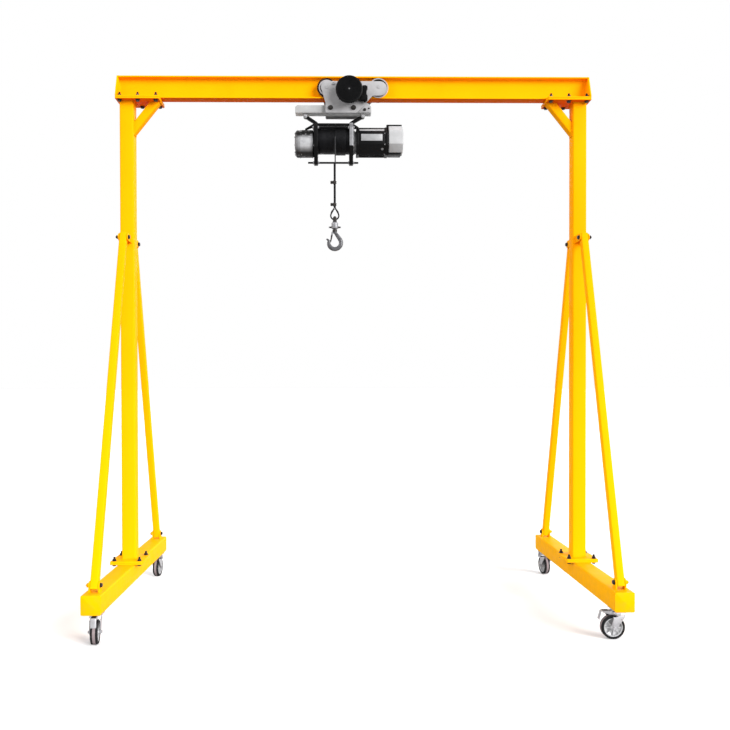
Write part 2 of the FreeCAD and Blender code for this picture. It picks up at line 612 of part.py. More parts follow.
FRAME_PLACES = {"left": "(-drum_left - frame_thickness - drum_end_gap)",
                "right": "(-drum_right + drum_end_gap)"}
UPPER_ROD_Z = "(tie_rod_rise - frame_chamfer / 2)"
TIE_RODS = [(f"-{TIE_ROD_Y}", UPPER_ROD_Z, "upper_rod"), (TIE_ROD_Y, UPPER_ROD_Z, "upper_rod"),
            ("0", "-tie_rod_fall", "lower_rod")]
LOWER_PINS = {"left": f"({FRAME_PLACES['left']} + frame_thickness / 2)",
              "right": f"({FRAME_PLACES['right']} + frame_thickness / 2)"}


# Where each frame's rib starts and ends along X, and the height above the drum of what it reaches over
RIBS = {"left": (FRAME_PLACES["left"], f"{FRAME_PLACES['left']} - left_rib_reach",
                 "gearbox_radius - gearbox_sink"),
        "right": (f"({FRAME_PLACES['right']} + frame_thickness)",
                  f"({FRAME_PLACES['right']} + frame_thickness) + right_rib_reach",
                  "motor_size / 2 - motor_sink")}


def make_hoist_frame(side):
    """An end frame: a plate drawn in to a narrow foot, with a boss on top and a rib out over its neighbour."""
    body = new_body(f"hoist_frame_{side}", z=DRUM_Z)
    half = "frame_half_width"
    sketch = new_sketch(body, "YZ", FRAME_PLACES[side])
    right = [("frame_foot_half_width", "-frame_foot"), (half, "-frame_waist"),
             (half, "frame_rise - frame_chamfer"), (f"{half} - frame_chamfer", "frame_rise"),
             ("boss_half_width", "frame_rise"), ("boss_half_width", "boss_rise")]
    draw_outline(sketch, right + [(f"-({y})", z) for y, z in reversed(right)])
    extrude(body, sketch, "frame_thickness")
    holes = new_sketch(body, "YZ")
    draw_circle(holes, "0", "0", "drum_shaft_radius + running_gap")
    for y, z, _ in TIE_RODS:
        draw_circle(holes, y, z, "tie_rod_radius + pin_clearance")
    cut(body, holes, "4 * bar_left")
    rib = new_sketch(body, "XZ")
    face, tip, seat = RIBS[side]
    draw_outline(rib, [(face, "boss_rise"), (tip, f"{seat} + running_gap + rib_width"),
                       (tip, f"{seat} + running_gap"), (face, "boss_rise - 2 * rib_width")])
    extrude(body, rib, "rib_thickness", both_ways=True)
    return body


def make_tie_rod(label, y, z, kind):
    body = new_body(label, y=y, z=f"{DRUM_Z} + {z}")
    left = FRAME_PLACES["left"]
    right = f"({FRAME_PLACES['right']} + frame_thickness)"
    rod_pad(body, "YZ", "0", "0", "tie_rod_radius", f"{left} - {kind}_left", f"{right} + {kind}_right")
    return body


def make_top_bar():
    """A flat bar above the drum, from boss to boss."""
    body = new_body("hoist_top_bar", z=f"{DRUM_Z} + boss_rise")
    half = "top_bar_thickness / 2"
    box_pad(body, (f"{FRAME_PLACES['left']} + frame_thickness", f"-{half}", "-top_bar_height"),
            (FRAME_PLACES["right"], half, "0"))
    return body


def make_drum():
    body = new_body("rope_drum", z=DRUM_Z)
    sketch = new_sketch(body, "XZ")
    left = "-drum_left"
    right = "-drum_right"
    rim = "drum_flange_thickness"
    flange = "drum_radius + drum_flange_depth"
    far_left = f"{left} - frame_thickness"
    far_right = f"{right} + frame_thickness"
    draw_outline(sketch, [(far_left, "0"), (far_left, "drum_shaft_radius"),
                          (left, "drum_shaft_radius"), (left, flange),
                          (f"{left} + {rim}", flange), (f"{left} + {rim}", "drum_radius"),
                          (f"{right} - {rim}", "drum_radius"), (f"{right} - {rim}", flange),
                          (right, flange), (right, "drum_shaft_radius"),
                          (far_right, "drum_shaft_radius"), (far_right, "0")])
    revolve(body, sketch, "H_Axis")
    return body


def make_gearbox():
    body = new_body("hoist_gearbox", z=f"{DRUM_Z} - gearbox_sink")
    right = FRAME_PLACES["left"]
    sketch = new_sketch(body, "XZ")
    draw_outline(sketch, [(f"{right} - gearbox_length", "0"),
                          (f"{right} - gearbox_length", "gearbox_radius - gearbox_chamfer"),
                          (f"{right} - gearbox_length + gearbox_chamfer", "gearbox_radius"),
                          (right, "gearbox_radius"), (right, "0")])
    revolve(body, sketch, "H_Axis")
    return body


def octagon(sketch, size, corner):
    half = f"({size}) / 2"
    inner = f"(({size}) / 2 - {corner})"
    draw_outline(sketch, [(f"-{inner}", f"-{half}"), (inner, f"-{half}"), (half, f"-{inner}"),
                          (half, inner), (inner, half), (f"-{inner}", half), (f"-{half}", inner),
                          (f"-{half}", f"-{inner}")])
    return sketch


MOTOR_START = f"({FRAME_PLACES['right']} + frame_thickness + ring_thickness)"


def make_motor_ring():
    """The flange ring between the right frame and the motor."""
    body = new_body("hoist_motor_flange", z=f"{DRUM_Z} - motor_sink")
    start = f"({FRAME_PLACES['right']} + frame_thickness)"
    rod_pad(body, "YZ", "0", "0", "ring_radius", start, f"{start} + ring_thickness")
    return body


def make_motor():
    body = new_body("hoist_motor", z=f"{DRUM_Z} - motor_sink")
    sketch = octagon(new_sketch(body, "YZ", MOTOR_START), "motor_size", "motor_corner")
    extrude(body, sketch, "motor_length")
    return body


def make_fan_cover():
    body = new_body("hoist_fan_cover", z=DRUM_Z)
    sketch = octagon(new_sketch(body, "YZ", f"{MOTOR_START} + motor_length"), "cover_size", "cover_corner")
    extrude(body, sketch, "cover_length")
    return body


def make_hanger(label, x_top, x_low):
    """A slanting link from a pin in the suspension bar down to the boss of an end frame."""
    body = new_body(label)
    top = f"{BEAM_BOTTOM} - hanger_pin_drop"
    foot = f"{DRUM_Z} + boss_rise"
    sketch = new_sketch(body, "XZ")
    draw_outline(sketch, [(f"{x_low} - hanger_radius", foot), (f"{x_low} + hanger_radius", foot),
                          (f"{x_top} + hanger_radius", top), (f"{x_top} - hanger_radius", top)])
    extrude(body, sketch, "hanger_thickness", both_ways=True)
    rod_pad(body, "XZ", x_top, top, "hanger_radius", "-hanger_thickness / 2", "hanger_thickness / 2")
    pin = "(hanger_thickness / 2 + running_gap + ear_thickness + hanger_pin_stick)"
    rod_pad(body, "XZ", x_top, top, "hanger_pin_radius", f"-{pin}", pin)
    return body


# ---------------------------------------------------------------- rope and hook

def make_hoist_rope():
    """The single fall of rope from the drum to where its end is doubled back."""
    body = new_body("hoist_rope", "-rope_x + rope_radius", f"-{ROPE_Y}")
    rod_pad(body, "XY", "0", "0", "rope_radius", ROPE_LOW, DRUM_Z)
    return body


def make_rope_end():
    """The doubled rope and the eye at its end."""
    body = new_body("rope_end", "-rope_x", f"-{ROPE_Y}", ROPE_LOW)
    for x in ("-rope_radius + rope_lap", "rope_radius - rope_lap"):
        rod_pad(body, "XY", x, "0", "rope_radius", "-doubled_length", "-running_gap")
    wide = "eye_radius"
    apex = "-doubled_length + rope_radius"
    sketch = new_sketch(body, "XZ")
    draw_outline(sketch, [(f"-{wide}", "-eye_drop"), (wide, "-eye_drop"), ("2 * rope_radius", apex),
                          ("-2 * rope_radius", apex)])
    extrude(body, sketch, "2 * rope_radius", both_ways=True)
    rod_pad(body, "XZ", "0", "-eye_drop", "eye_radius", "-rope_radius", "rope_radius")
    inside = "(eye_radius - eye_wall)"
    sketch = new_sketch(body, "XZ")
    draw_outline(sketch, [(f"-{inside}", "-eye_drop"), (inside, "-eye_drop"),
                          ("0", "-doubled_length - 2 * rope_radius")])
    cut(body, sketch, "4 * rope_radius")
    sketch = new_sketch(body, "XZ")
    draw_circle(sketch, "0", "-eye_drop", inside)
    cut(body, sketch, "4 * rope_radius")
    return body


def make_rope_clip(label, drop):
    body = new_body(label, "-rope_x", f"-{ROPE_Y}", f"{ROPE_LOW} - {drop}")
    half = "clip_size / 2"
    box_pad(body, (f"-{half}", "-clip_height / 2", "-clip_height / 2"),
            (half, "clip_height / 2", "clip_height / 2"))
    sketch = new_sketch(body, "XY")
    draw_rectangle(sketch, "-2 * rope_radius", "-rope_radius - running_gap", "2 * rope_radius",
                   "rope_radius + running_gap")
    cut(body, sketch, "2 * clip_height")
    return body


def make_hook_swivel_block():
    """The swivel block: a clevis and pin for the rope's eye, and a bore for the hook's shank."""
    body = new_body("hook_swivel_block", "-rope_x", f"-{ROPE_Y}", ROPE_LOW)
    top = "-swivel_drop"
    rod_pad(body, "XY", "0", "0", "swivel_radius", f"{top} - swivel_height", top)
    pin = "-eye_drop - eye_radius + eye_wall + clevis_pin_radius + running_gap"
    for low, high in (("-clevis_gap / 2 - clevis_thickness", "-clevis_gap / 2"),
                      ("clevis_gap / 2", "clevis_gap / 2 + clevis_thickness")):
        box_pad(body, ("-clevis_width / 2", low, f"{top} - clevis_sink"),
                ("clevis_width / 2", high, f"{pin} + 2 * clevis_pin_radius"))
    rod_pad(body, "XZ", "0", pin, "clevis_pin_radius", "-clevis_gap / 2 - clevis_thickness",
            "clevis_gap / 2 + clevis_thickness")
    rod_pad(body, "YZ", "0", f"{top} - cross_pin_drop", "cross_pin_radius", "-cross_pin_half_length",
            "-swivel_radius + cross_pin_sink")
    rod_pad(body, "YZ", "0", f"{top} - cross_pin_drop", "cross_pin_radius", "swivel_radius - cross_pin_sink",
            "cross_pin_half_length")
    bore = new_sketch(body, "XY", f"{top} - swivel_height + shank_depth")
    draw_circle(bore, "0", "0", "shank_radius + running_gap")
    cut(body, bore, "2 * shank_depth", both_ways=False)
    return body


def make_hook():
    """A round-bar hook: the bowl, a slanting neck, a shank up into the swivel block, and the latch's lug."""
    end_x = "(hook_ring_radius * cos(hook_end_angle * 1deg))"
    end_z = "(hook_ring_radius * sin(hook_end_angle * 1deg))"
    rise = f"(hook_neck_rise - {end_z})"
    ring = doc.addObject("Part::Torus", "hook_bowl")
    bind(ring, "Radius1", "hook_ring_radius")
    bind(ring, "Radius2", "hook_thickness")
    bind(ring, "Angle3", "hook_sweep")
    ring.Placement = Placement(Vector(), Rotation(Vector(1, 0, 0), 90))
    turned = doc.addObject("Part::Compound", "hook_bowl_turned")
    turned.Links = [ring]
    turned.Placement = Placement(Vector(), Rotation(Vector(0, 1, 0), 1))
    bind(turned, "Placement.Rotation.Angle", "hook_sweep * 1deg - hook_end_angle * 1deg")
    neck = doc.addObject("Part::Cylinder", "hook_neck")
    bind(neck, "Radius", "hook_neck_radius")
    bind(neck, "Height", f"sqrt({end_x} * {end_x} + {rise} * {rise})")
    neck.Placement = Placement(Vector(), Rotation(Vector(0, 1, 0), 1))
    bind(neck, "Placement.Base.x", end_x)
    bind(neck, "Placement.Base.z", end_z)
    bind(neck, "Placement.Rotation.Angle", f"-atan({end_x} / {rise})")
    knuckle = doc.addObject("Part::Sphere", "hook_knuckle")
    bind(knuckle, "Radius", "hook_neck_radius")
    bind(knuckle, "Placement.Base.z", "hook_neck_rise")
    shank = doc.addObject("Part::Cylinder", "hook_shank")
    bind(shank, "Radius", "shank_radius")
    bind(shank, "Height", "hook_drop - swivel_drop - swivel_height + shank_depth - hook_neck_rise"
         " - shank_end_gap")
    bind(shank, "Placement.Base.z", "hook_neck_rise")
    lug = doc.addObject("Part::Box", "hook_lug")
    bind(lug, "Length", "latch_pivot_x + hook_lug_size / 2")
    bind(lug, "Width", "hook_lug_width")
    bind(lug, "Height", "hook_lug_size")
    bind(lug, "Placement.Base.x", "-latch_pivot_x - hook_lug_size / 2")
    bind(lug, "Placement.Base.y", "-hook_lug_width / 2")
    bind(lug, "Placement.Base.z", "latch_pivot_rise - hook_lug_size / 2")
    forged = doc.addObject("Part::MultiFuse", "hook_forging")
    forged.Shapes = [turned, neck, knuckle, shank, lug]
    bore = doc.addObject("Part::Cylinder", "hook_lug_bore")
    bind(bore, "Radius", "latch_pin_radius + pin_clearance")
    bind(bore, "Height", "2 * hook_lug_width")
    bore.Placement = Placement(Vector(), Rotation(Vector(1, 0, 0), 90))
    bind(bore, "Placement.Base.x", "-latch_pivot_x")
    bind(bore, "Placement.Base.y", "hook_lug_width")
    bind(bore, "Placement.Base.z", "latch_pivot_rise")
    hook = doc.addObject("Part::Cut", "hook")
    hook.Label = "hook"
    hook.Base = forged
    hook.Tool = bore
    for axis, text in zip("xyz", ("-rope_x", f"-{ROPE_Y}", f"{ROPE_LOW} - hook_drop")):
        bind(hook, f"Placement.Base.{axis}", text)
    doc.recompute()
    return hook


def make_hook_latch():
    """A sprung tongue from the hook's neck to the inside of its point, with two cheeks and a pin."""
    body = new_body("hook_latch", "-rope_x - latch_pivot_x", f"-{ROPE_Y}",
                    f"{ROPE_LOW} - hook_drop + latch_pivot_rise")
    body.Placement = Placement(body.Placement.Base, Rotation(Vector(0, 1, 0), 1))
    bind(body, "Placement.Rotation.Angle", "latch_angle * 1deg")
    thin = "latch_thickness / 2"
    inner = "(hook_lug_width / 2 + running_gap)"
    outer = f"({inner} + latch_cheek)"
    below = "-hook_lug_size"
    box_pad(body, (f"-{thin}", f"-{outer}", "-latch_reach"), (thin, outer, below))
    for low, high in ((f"-{outer}", f"-{inner}"), (inner, outer)):
        box_pad(body, ("-hook_lug_size / 2", low, below), ("hook_lug_size / 2", high, "hook_lug_size / 2"))
    rod_pad(body, "XZ", "0", "0", "latch_pin_radius", f"-{outer} - latch_cheek", f"{outer} + latch_cheek")
    return body


# ---------------------------------------------------------------- the crane

nodes = [make_main_beam()]
nodes.append(join("beam_end_plates", on_both_sides(make_beam_end_plate, "end_plate")))
nodes.append(join("beam_seat_plates",
                  on_both_sides(make_head_plate, "seat_plate", f"{COLUMN_TOP} + plate_thickness")))
nodes.append(join("column_head_plates", on_both_sides(make_head_plate, "head_plate", COLUMN_TOP)))
nodes += on_both_sides(make_column, "column")
nodes += on_both_sides(make_knee_brace, "knee_brace")
nodes.append(join("column_foot_plates",
                  on_both_sides(make_foot_plate, "foot_plate", f"{BASE_TOP} + plate_thickness")))
nodes.append(join("base_seat_plates", on_both_sides(make_foot_plate, "base_plate", BASE_TOP)))
nodes += on_both_sides(make_base_beam, "base_beam")
nodes.append(join("base_end_caps", [make_base_cap(f"{side}_cap_{number}", x, turn, end)
                                    for side, (x, turn) in SIDES.items()
                                    for number, end in ((1, -1), (2, 1))]))

ENDS = {"front": -1, "rear": 1}
top_lugs, foot_lugs, pins = [], [], []
for side, (x, turn) in SIDES.items():
    for name, end in ENDS.items():
        nodes.append(make_brace(f"{side}_{name}_brace", x, end))
        top_y = f"{end} * {BRACE_TOP_Y}"
        foot_y = f"{end} * {BRACE_FOOT_Y}"
        weld = f"{-end} * brace_top_reach"
        for hand in (-1, 1):
            tag = f"{side}_{name}_{hand + 1}"
            top_lugs.append(make_lug(f"top_lug_{tag}", x, top_y, "brace_top_height", weld, hand, False))
            foot_lugs.append(make_lug(f"foot_lug_{tag}", x, foot_y, BRACE_FOOT_Z, "brace_foot_rise", hand,
                                      True))
        pins.append(make_brace_pin(f"top_pin_{side}_{name}", x, top_y, "brace_top_height"))
        pins.append(make_brace_pin(f"foot_pin_{side}_{name}", x, foot_y, BRACE_FOOT_Z))
nodes.append(join("brace_top_lugs", top_lugs))
nodes.append(join("brace_foot_lugs", foot_lugs))
nodes.append(join("brace_pins", pins))

nodes.append(join("caster_mount_plates", [make_caster_plate(f"{name}_caster_plate", x, y)
                                          for name, (x, y, turn) in CASTERS.items()]))
for name, (x, y, turn) in CASTERS.items():
    nodes.append(make_caster_fork(f"{name}_caster_fork", x, y, turn))
    nodes.append(make_caster_tyre(f"{name}_caster_tyre", x, y, turn))
    nodes.append(make_caster_hub(f"{name}_caster_hub", x, y, turn))

nodes.append(make_trolley_plate("trolley_front_plate", -1))
nodes.append(make_trolley_plate("trolley_rear_plate", 1))
nodes.append(join("trolley_bolts", [make_trolley_bolt("trolley_bolt_1", "-trolley_bolt_left"),
                                    make_trolley_bolt("trolley_bolt_2", "-trolley_bolt_right")]))
for row, hand in (("front", -1), ("rear", 1)):
    nodes.append(make_trolley_wheel(f"trolley_wheel_{row}_left", "-trolley_wheel_left", hand))
    nodes.append(make_trolley_wheel(f"trolley_wheel_{row}_right", "trolley_wheel_right", hand))
nodes.append(make_trolley_motor())
nodes.append(make_terminal_box())
nodes.append(make_suspension_bar())

nodes.append(join("hoist_frames", [make_hoist_frame("left"), make_hoist_frame("right")]))
nodes.append(join("hoist_tie_rods", [make_tie_rod(f"tie_rod_{index}", y, z, kind)
                                     for index, (y, z, kind) in enumerate(TIE_RODS)] + [make_top_bar()]))
nodes.append(make_drum())
nodes.append(make_gearbox())
nodes.append(make_motor_ring())
nodes.append(make_motor())
nodes.append(make_fan_cover())
nodes.append(join("hoist_hangers", [make_hanger("hanger_left", "-hanger_left", LOWER_PINS["left"]),
                                    make_hanger("hanger_right", "hanger_right", LOWER_PINS["right"])]))
nodes.append(make_hoist_rope())
nodes.append(make_rope_end())
nodes.append(join("rope_clips", [make_rope_clip("rope_clip_1", "clip_first"),
                                 make_rope_clip("rope_clip_2", "clip_second")]))
nodes.append(make_hook_swivel_block())
nodes.append(make_hook())
nodes.append(make_hook_latch())

doc.recompute()
for item in doc.Objects:
    if "Invalid" in item.State or "Error" in item.State:
        raise RuntimeError(f"{item.Label}: {item.State}")
for node in nodes:
    if node.Shape.isNull() or not node.Shape.isValid():
        raise RuntimeError(f"{node.Label}: the shape is not valid")
os.makedirs("parts", exist_ok=True)
for node in nodes:
    node.Shape.exportStep(os.path.join("parts", f"{node.Label}.step"))
print(len(nodes), "sub-parts written")
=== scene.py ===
import json
import math

import bpy
from mathutils import Matrix, Vector


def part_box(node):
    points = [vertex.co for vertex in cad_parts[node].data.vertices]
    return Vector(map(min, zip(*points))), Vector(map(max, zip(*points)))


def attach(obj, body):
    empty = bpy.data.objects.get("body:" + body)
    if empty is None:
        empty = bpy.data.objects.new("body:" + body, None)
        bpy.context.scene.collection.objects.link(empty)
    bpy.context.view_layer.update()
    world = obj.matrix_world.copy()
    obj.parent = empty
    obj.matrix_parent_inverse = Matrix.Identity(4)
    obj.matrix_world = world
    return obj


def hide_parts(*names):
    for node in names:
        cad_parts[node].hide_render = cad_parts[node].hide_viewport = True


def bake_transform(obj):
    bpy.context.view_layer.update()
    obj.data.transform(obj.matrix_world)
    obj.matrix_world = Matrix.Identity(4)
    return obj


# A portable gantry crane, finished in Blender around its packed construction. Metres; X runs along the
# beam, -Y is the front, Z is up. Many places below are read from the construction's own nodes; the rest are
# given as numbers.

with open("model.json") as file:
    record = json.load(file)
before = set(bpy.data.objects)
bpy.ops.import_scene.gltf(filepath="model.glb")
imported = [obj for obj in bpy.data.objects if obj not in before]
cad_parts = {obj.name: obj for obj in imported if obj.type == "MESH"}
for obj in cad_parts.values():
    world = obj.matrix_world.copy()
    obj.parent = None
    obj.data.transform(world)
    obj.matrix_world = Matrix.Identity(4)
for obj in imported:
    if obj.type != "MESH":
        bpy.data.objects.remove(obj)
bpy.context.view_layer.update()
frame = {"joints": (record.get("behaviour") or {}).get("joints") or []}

X, Y, Z = Vector((1, 0, 0)), Vector((0, 1, 0)), Vector((0, 0, 1))
MM = 0.001


# ------------------------------------------------------------------ reading the construction

def low(node):
    return Vector(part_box(node)[0])


def high(node):
    return Vector(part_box(node)[1])


def middle(node):
    return (low(node) + high(node)) / 2


# ------------------------------------------------------------------ modelling helpers

def select_none():
    if bpy.context.object and bpy.context.object.mode != "OBJECT":
        bpy.ops.object.mode_set(mode="OBJECT")
    bpy.ops.object.select_all(action="DESELECT")


def only(piece):
    """Makes the piece the one selected and active object."""
    select_none()
    piece.select_set(True)
    bpy.context.view_layer.objects.active = piece
    return piece


def settle(piece, name):
    """Names a new piece and moves its place into its mesh."""
    only(piece)
    piece.name = name
    piece.data.name = name
    bpy.ops.object.transform_apply(location=True, rotation=True, scale=True)
    return piece


def pick(piece, kind, wanted):
    """Enters edit mode with the faces or edges selected that wanted(middle, direction) accepts."""
    only(piece)
    mesh = piece.data
    for group in (mesh.vertices, mesh.edges, mesh.polygons):
        group.foreach_set("select", [False] * len(group))
    bpy.context.tool_settings.mesh_select_mode = (False, kind == "EDGE", kind == "FACE")
    if kind == "FACE":
        for face in mesh.polygons:
            face.select = wanted(face.center, face.normal)
    else:
        for edge in mesh.edges:
            start, end = (mesh.vertices[index].co for index in edge.vertices)
            edge.select = wanted((start + end) / 2, (end - start).normalized())
    bpy.ops.object.mode_set(mode="EDIT")


def leave():
    bpy.ops.object.mode_set(mode="OBJECT")


def apply_modifier(piece, kind, **settings):
    only(piece)
    modifier = piece.modifiers.new(kind.title(), kind)
    for key, number in settings.items():
        setattr(modifier, key, number)
    bpy.ops.object.modifier_apply(modifier=modifier.name)
    return piece


def round_edges(piece, width, segments=2, angle=30):
    return apply_modifier(piece, "BEVEL", width=width, segments=segments, limit_method="ANGLE",
                          angle_limit=math.radians(angle), harden_normals=False)


def smooth(piece, angle=35):
    only(piece)
    bpy.ops.object.shade_smooth_by_angle(angle=math.radians(angle), keep_sharp_edges=False)
    return piece


def tidy_faces(piece):
    """Merges doubled points and turns every face outwards."""
    pick(piece, "FACE", lambda place, normal: True)
    bpy.ops.mesh.remove_doubles(threshold=1e-6)
    bpy.ops.mesh.normals_make_consistent(inside=False)
    leave()
    return piece


def block(name, corner_a, corner_b, rounding=0.0, segments=2):
    """A rectangular bar between two corners with its edges rounded."""
    a, b = Vector(corner_a), Vector(corner_b)
    select_none()
    bpy.ops.mesh.primitive_cube_add(size=1, location=(a + b) / 2, scale=[abs(n) for n in b - a])
    piece = settle(bpy.context.object, name)
    if rounding:
        round_edges(piece, rounding, segments)
    return smooth(piece)


def cylinder(name, start, end, radius, rounding=0.0, sides=32):
    """A round bar from start to end, with its end edges rounded."""
    start, end = Vector(start), Vector(end)
    select_none()
    bpy.ops.mesh.primitive_cone_add(vertices=sides, radius1=radius, depth=(end - start).length,
                                    radius2=radius,
                                    location=(start + end) / 2,
                                    rotation=(end - start).to_track_quat("Z", "Y").to_euler())
    piece = settle(bpy.context.object, name)
    if rounding:
        round_edges(piece, rounding, 2, angle=50)
    return smooth(piece)


def cut_out(name, outline, plane, start, end, rounding=0.0, segments=2):
    """A plate of the given outline, from start to end along the plane's normal (plane is XY, XZ or YZ)."""
    select_none()
    bpy.ops.mesh.primitive_circle_add(vertices=len(outline), fill_type="NGON")
    piece = bpy.context.object
    axes = {"XY": (0, 1, 2), "XZ": (0, 2, 1), "YZ": (1, 2, 0)}[plane]
    for vertex, point in zip(piece.data.vertices, outline):
        place = [0.0, 0.0, 0.0]
        place[axes[0]], place[axes[1]], place[axes[2]] = point[0], point[1], start
        vertex.co = place
    shift = [0.0, 0.0, 0.0]
    shift[axes[2]] = end - start
    settle(piece, name)
    pick(piece, "FACE", lambda place, normal: True)
    bpy.ops.mesh.extrude_region_move(TRANSFORM_OT_translate={"value": shift})
    bpy.ops.mesh.select_all(action="SELECT")
    bpy.ops.mesh.normals_make_consistent(inside=False)
    leave()
    if rounding:
        round_edges(piece, rounding, segments)
    return smooth(piece)


def arc(x, y, radius, start, end, steps=6):
    """Points of an arc, with its angles in degrees."""
    angles = [math.radians(start + (end - start) * step / steps) for step in range(steps + 1)]
    return [(x + radius * math.cos(angle), y + radius * math.sin(angle)) for angle in angles]


def rounded_outline(corners, steps=4):
    """An outline whose corners (x, y, radius) are turned into arcs."""
    points = []
    count = len(corners)
    for index, (x, y, radius) in enumerate(corners):
        here = Vector((x, y))
        if radius <= 0:
            points.append(tuple(here))
            continue
        before = (Vector(corners[index - 1][:2]) - here).normalized()
        after = (Vector(corners[(index + 1) % count][:2]) - here).normalized()
        half = before.angle(after) / 2
        reach = radius / math.tan(half)
        centre = here + (before + after).normalized() * (radius / math.sin(half))
        first = (here + before * reach) - centre
        turn = first.angle_signed((here + after * reach) - centre)
        for step in range(steps + 1):
            angle = -turn * step / steps
            spoke = Matrix.Rotation(angle, 2) @ first
            points.append(tuple(centre + spoke))
    return points


def turned(name, centre, axis, profile, steps=48):
    """A turned piece: profile is (place along the axis, radius) pairs, spun about the axis through centre."""
    select_none()
    bpy.ops.mesh.primitive_circle_add(vertices=len(profile), fill_type="NOTHING")
    piece = bpy.context.object
    for vertex, (along, radius) in zip(piece.data.vertices, profile):
        vertex.co = (radius, 0, along)
    if profile[0][1] < 1e-6 and profile[-1][1] < 1e-6:
        pick(piece, "EDGE", lambda place, direction: abs(place.x) < 1e-7)
        bpy.ops.mesh.delete(type="EDGE_FACE")
        leave()
    pick(piece, "EDGE", lambda place, direction: True)
    bpy.ops.mesh.spin(steps=steps, angle=math.tau, center=(0, 0, 0), axis=(0, 0, 1))
    leave()
    piece.matrix_world = facing(centre, axis)
    settle(piece, name)
    tidy_faces(piece)
    return smooth(piece)


def copy_to(source, name, move):
    """A copy of a piece, with a mesh of its own moved by a matrix."""
    piece = source.copy()
    piece.data = source.data.copy()
    bpy.context.collection.objects.link(piece)
    piece.name = name
    piece.data.name = name
    piece.data.transform(move)
    if move.determinant() < 0:
        tidy_faces(piece)
    return piece


def joined(name, pieces):
    """Joins the pieces into one, which keeps each one's finish."""
    pieces = list(pieces)
    select_none()
    for piece in pieces:
        piece.select_set(True)
    bpy.context.view_layer.objects.active = pieces[0]
    if len(pieces) > 1:
        bpy.ops.object.join()
    piece = bpy.context.object
    piece.name = name
    piece.data.name = name
    return piece


def scatter(template, name, moves):
    """Copies of a template at each matrix, joined into one piece; the template itself is removed."""
    pieces = [copy_to(template, name, move) for move in moves]
    bpy.data.objects.remove(template)
    return joined(name, pieces)


def facing(place, direction, roll=0.0):
    """The matrix that moves a piece modelled about the origin along +Z to a place, facing a direction."""
    turn = Vector(direction).to_track_quat("Z", "Y").to_matrix().to_4x4()
    return Matrix.Translation(Vector(place)) @ turn @ Matrix.Rotation(roll, 4, "Z")


def swept(name, points, radius, sides=12, closed=False):
    """A round bar along points; each point is (x, y, z) or (x, y, z, share of the radius)."""
    curve = bpy.data.curves.new(name, "CURVE")
    curve.dimensions = "3D"
    curve.bevel_depth = radius
    curve.bevel_resolution = sides // 4 - 1 if sides >= 8 else 0
    curve.use_fill_caps = True
    line = curve.splines.new("POLY")
    line.points.add(len(points) - 1)
    for target, point in zip(line.points, points):
        target.co = (point[0], point[1], point[2], 1)
        target.radius = point[3] if len(point) > 3 else 1.0
    line.use_cyclic_u = closed
    select_none()
    piece = bpy.data.objects.new(name, curve)
    bpy.context.collection.objects.link(piece)
    only(piece)
    bpy.ops.object.convert(target="MESH")
    piece = bpy.context.object
    piece.name = name
    tidy_faces(piece)
    return smooth(piece, 60)


def paint(piece, material, second=None, wanted=None):
    """Gives every face a finish, and those that wanted(middle, normal) accepts a second one."""
    piece.data.materials.clear()
    piece.data.materials.append(material)
    if second:
        piece.data.materials.append(second)
        for face in piece.data.polygons:
            face.material_index = int(wanted(face.center, face.normal))
    return piece


def finish(piece, material, body, slot, *replaced):
    """Gives a piece its finish, the body it rides on and the construction nodes it stands for."""
    if material:
        paint(piece, material)
    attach(piece, body)
    if replaced:
        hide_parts(*replaced)
    return piece


# ------------------------------------------------------------------ finishes

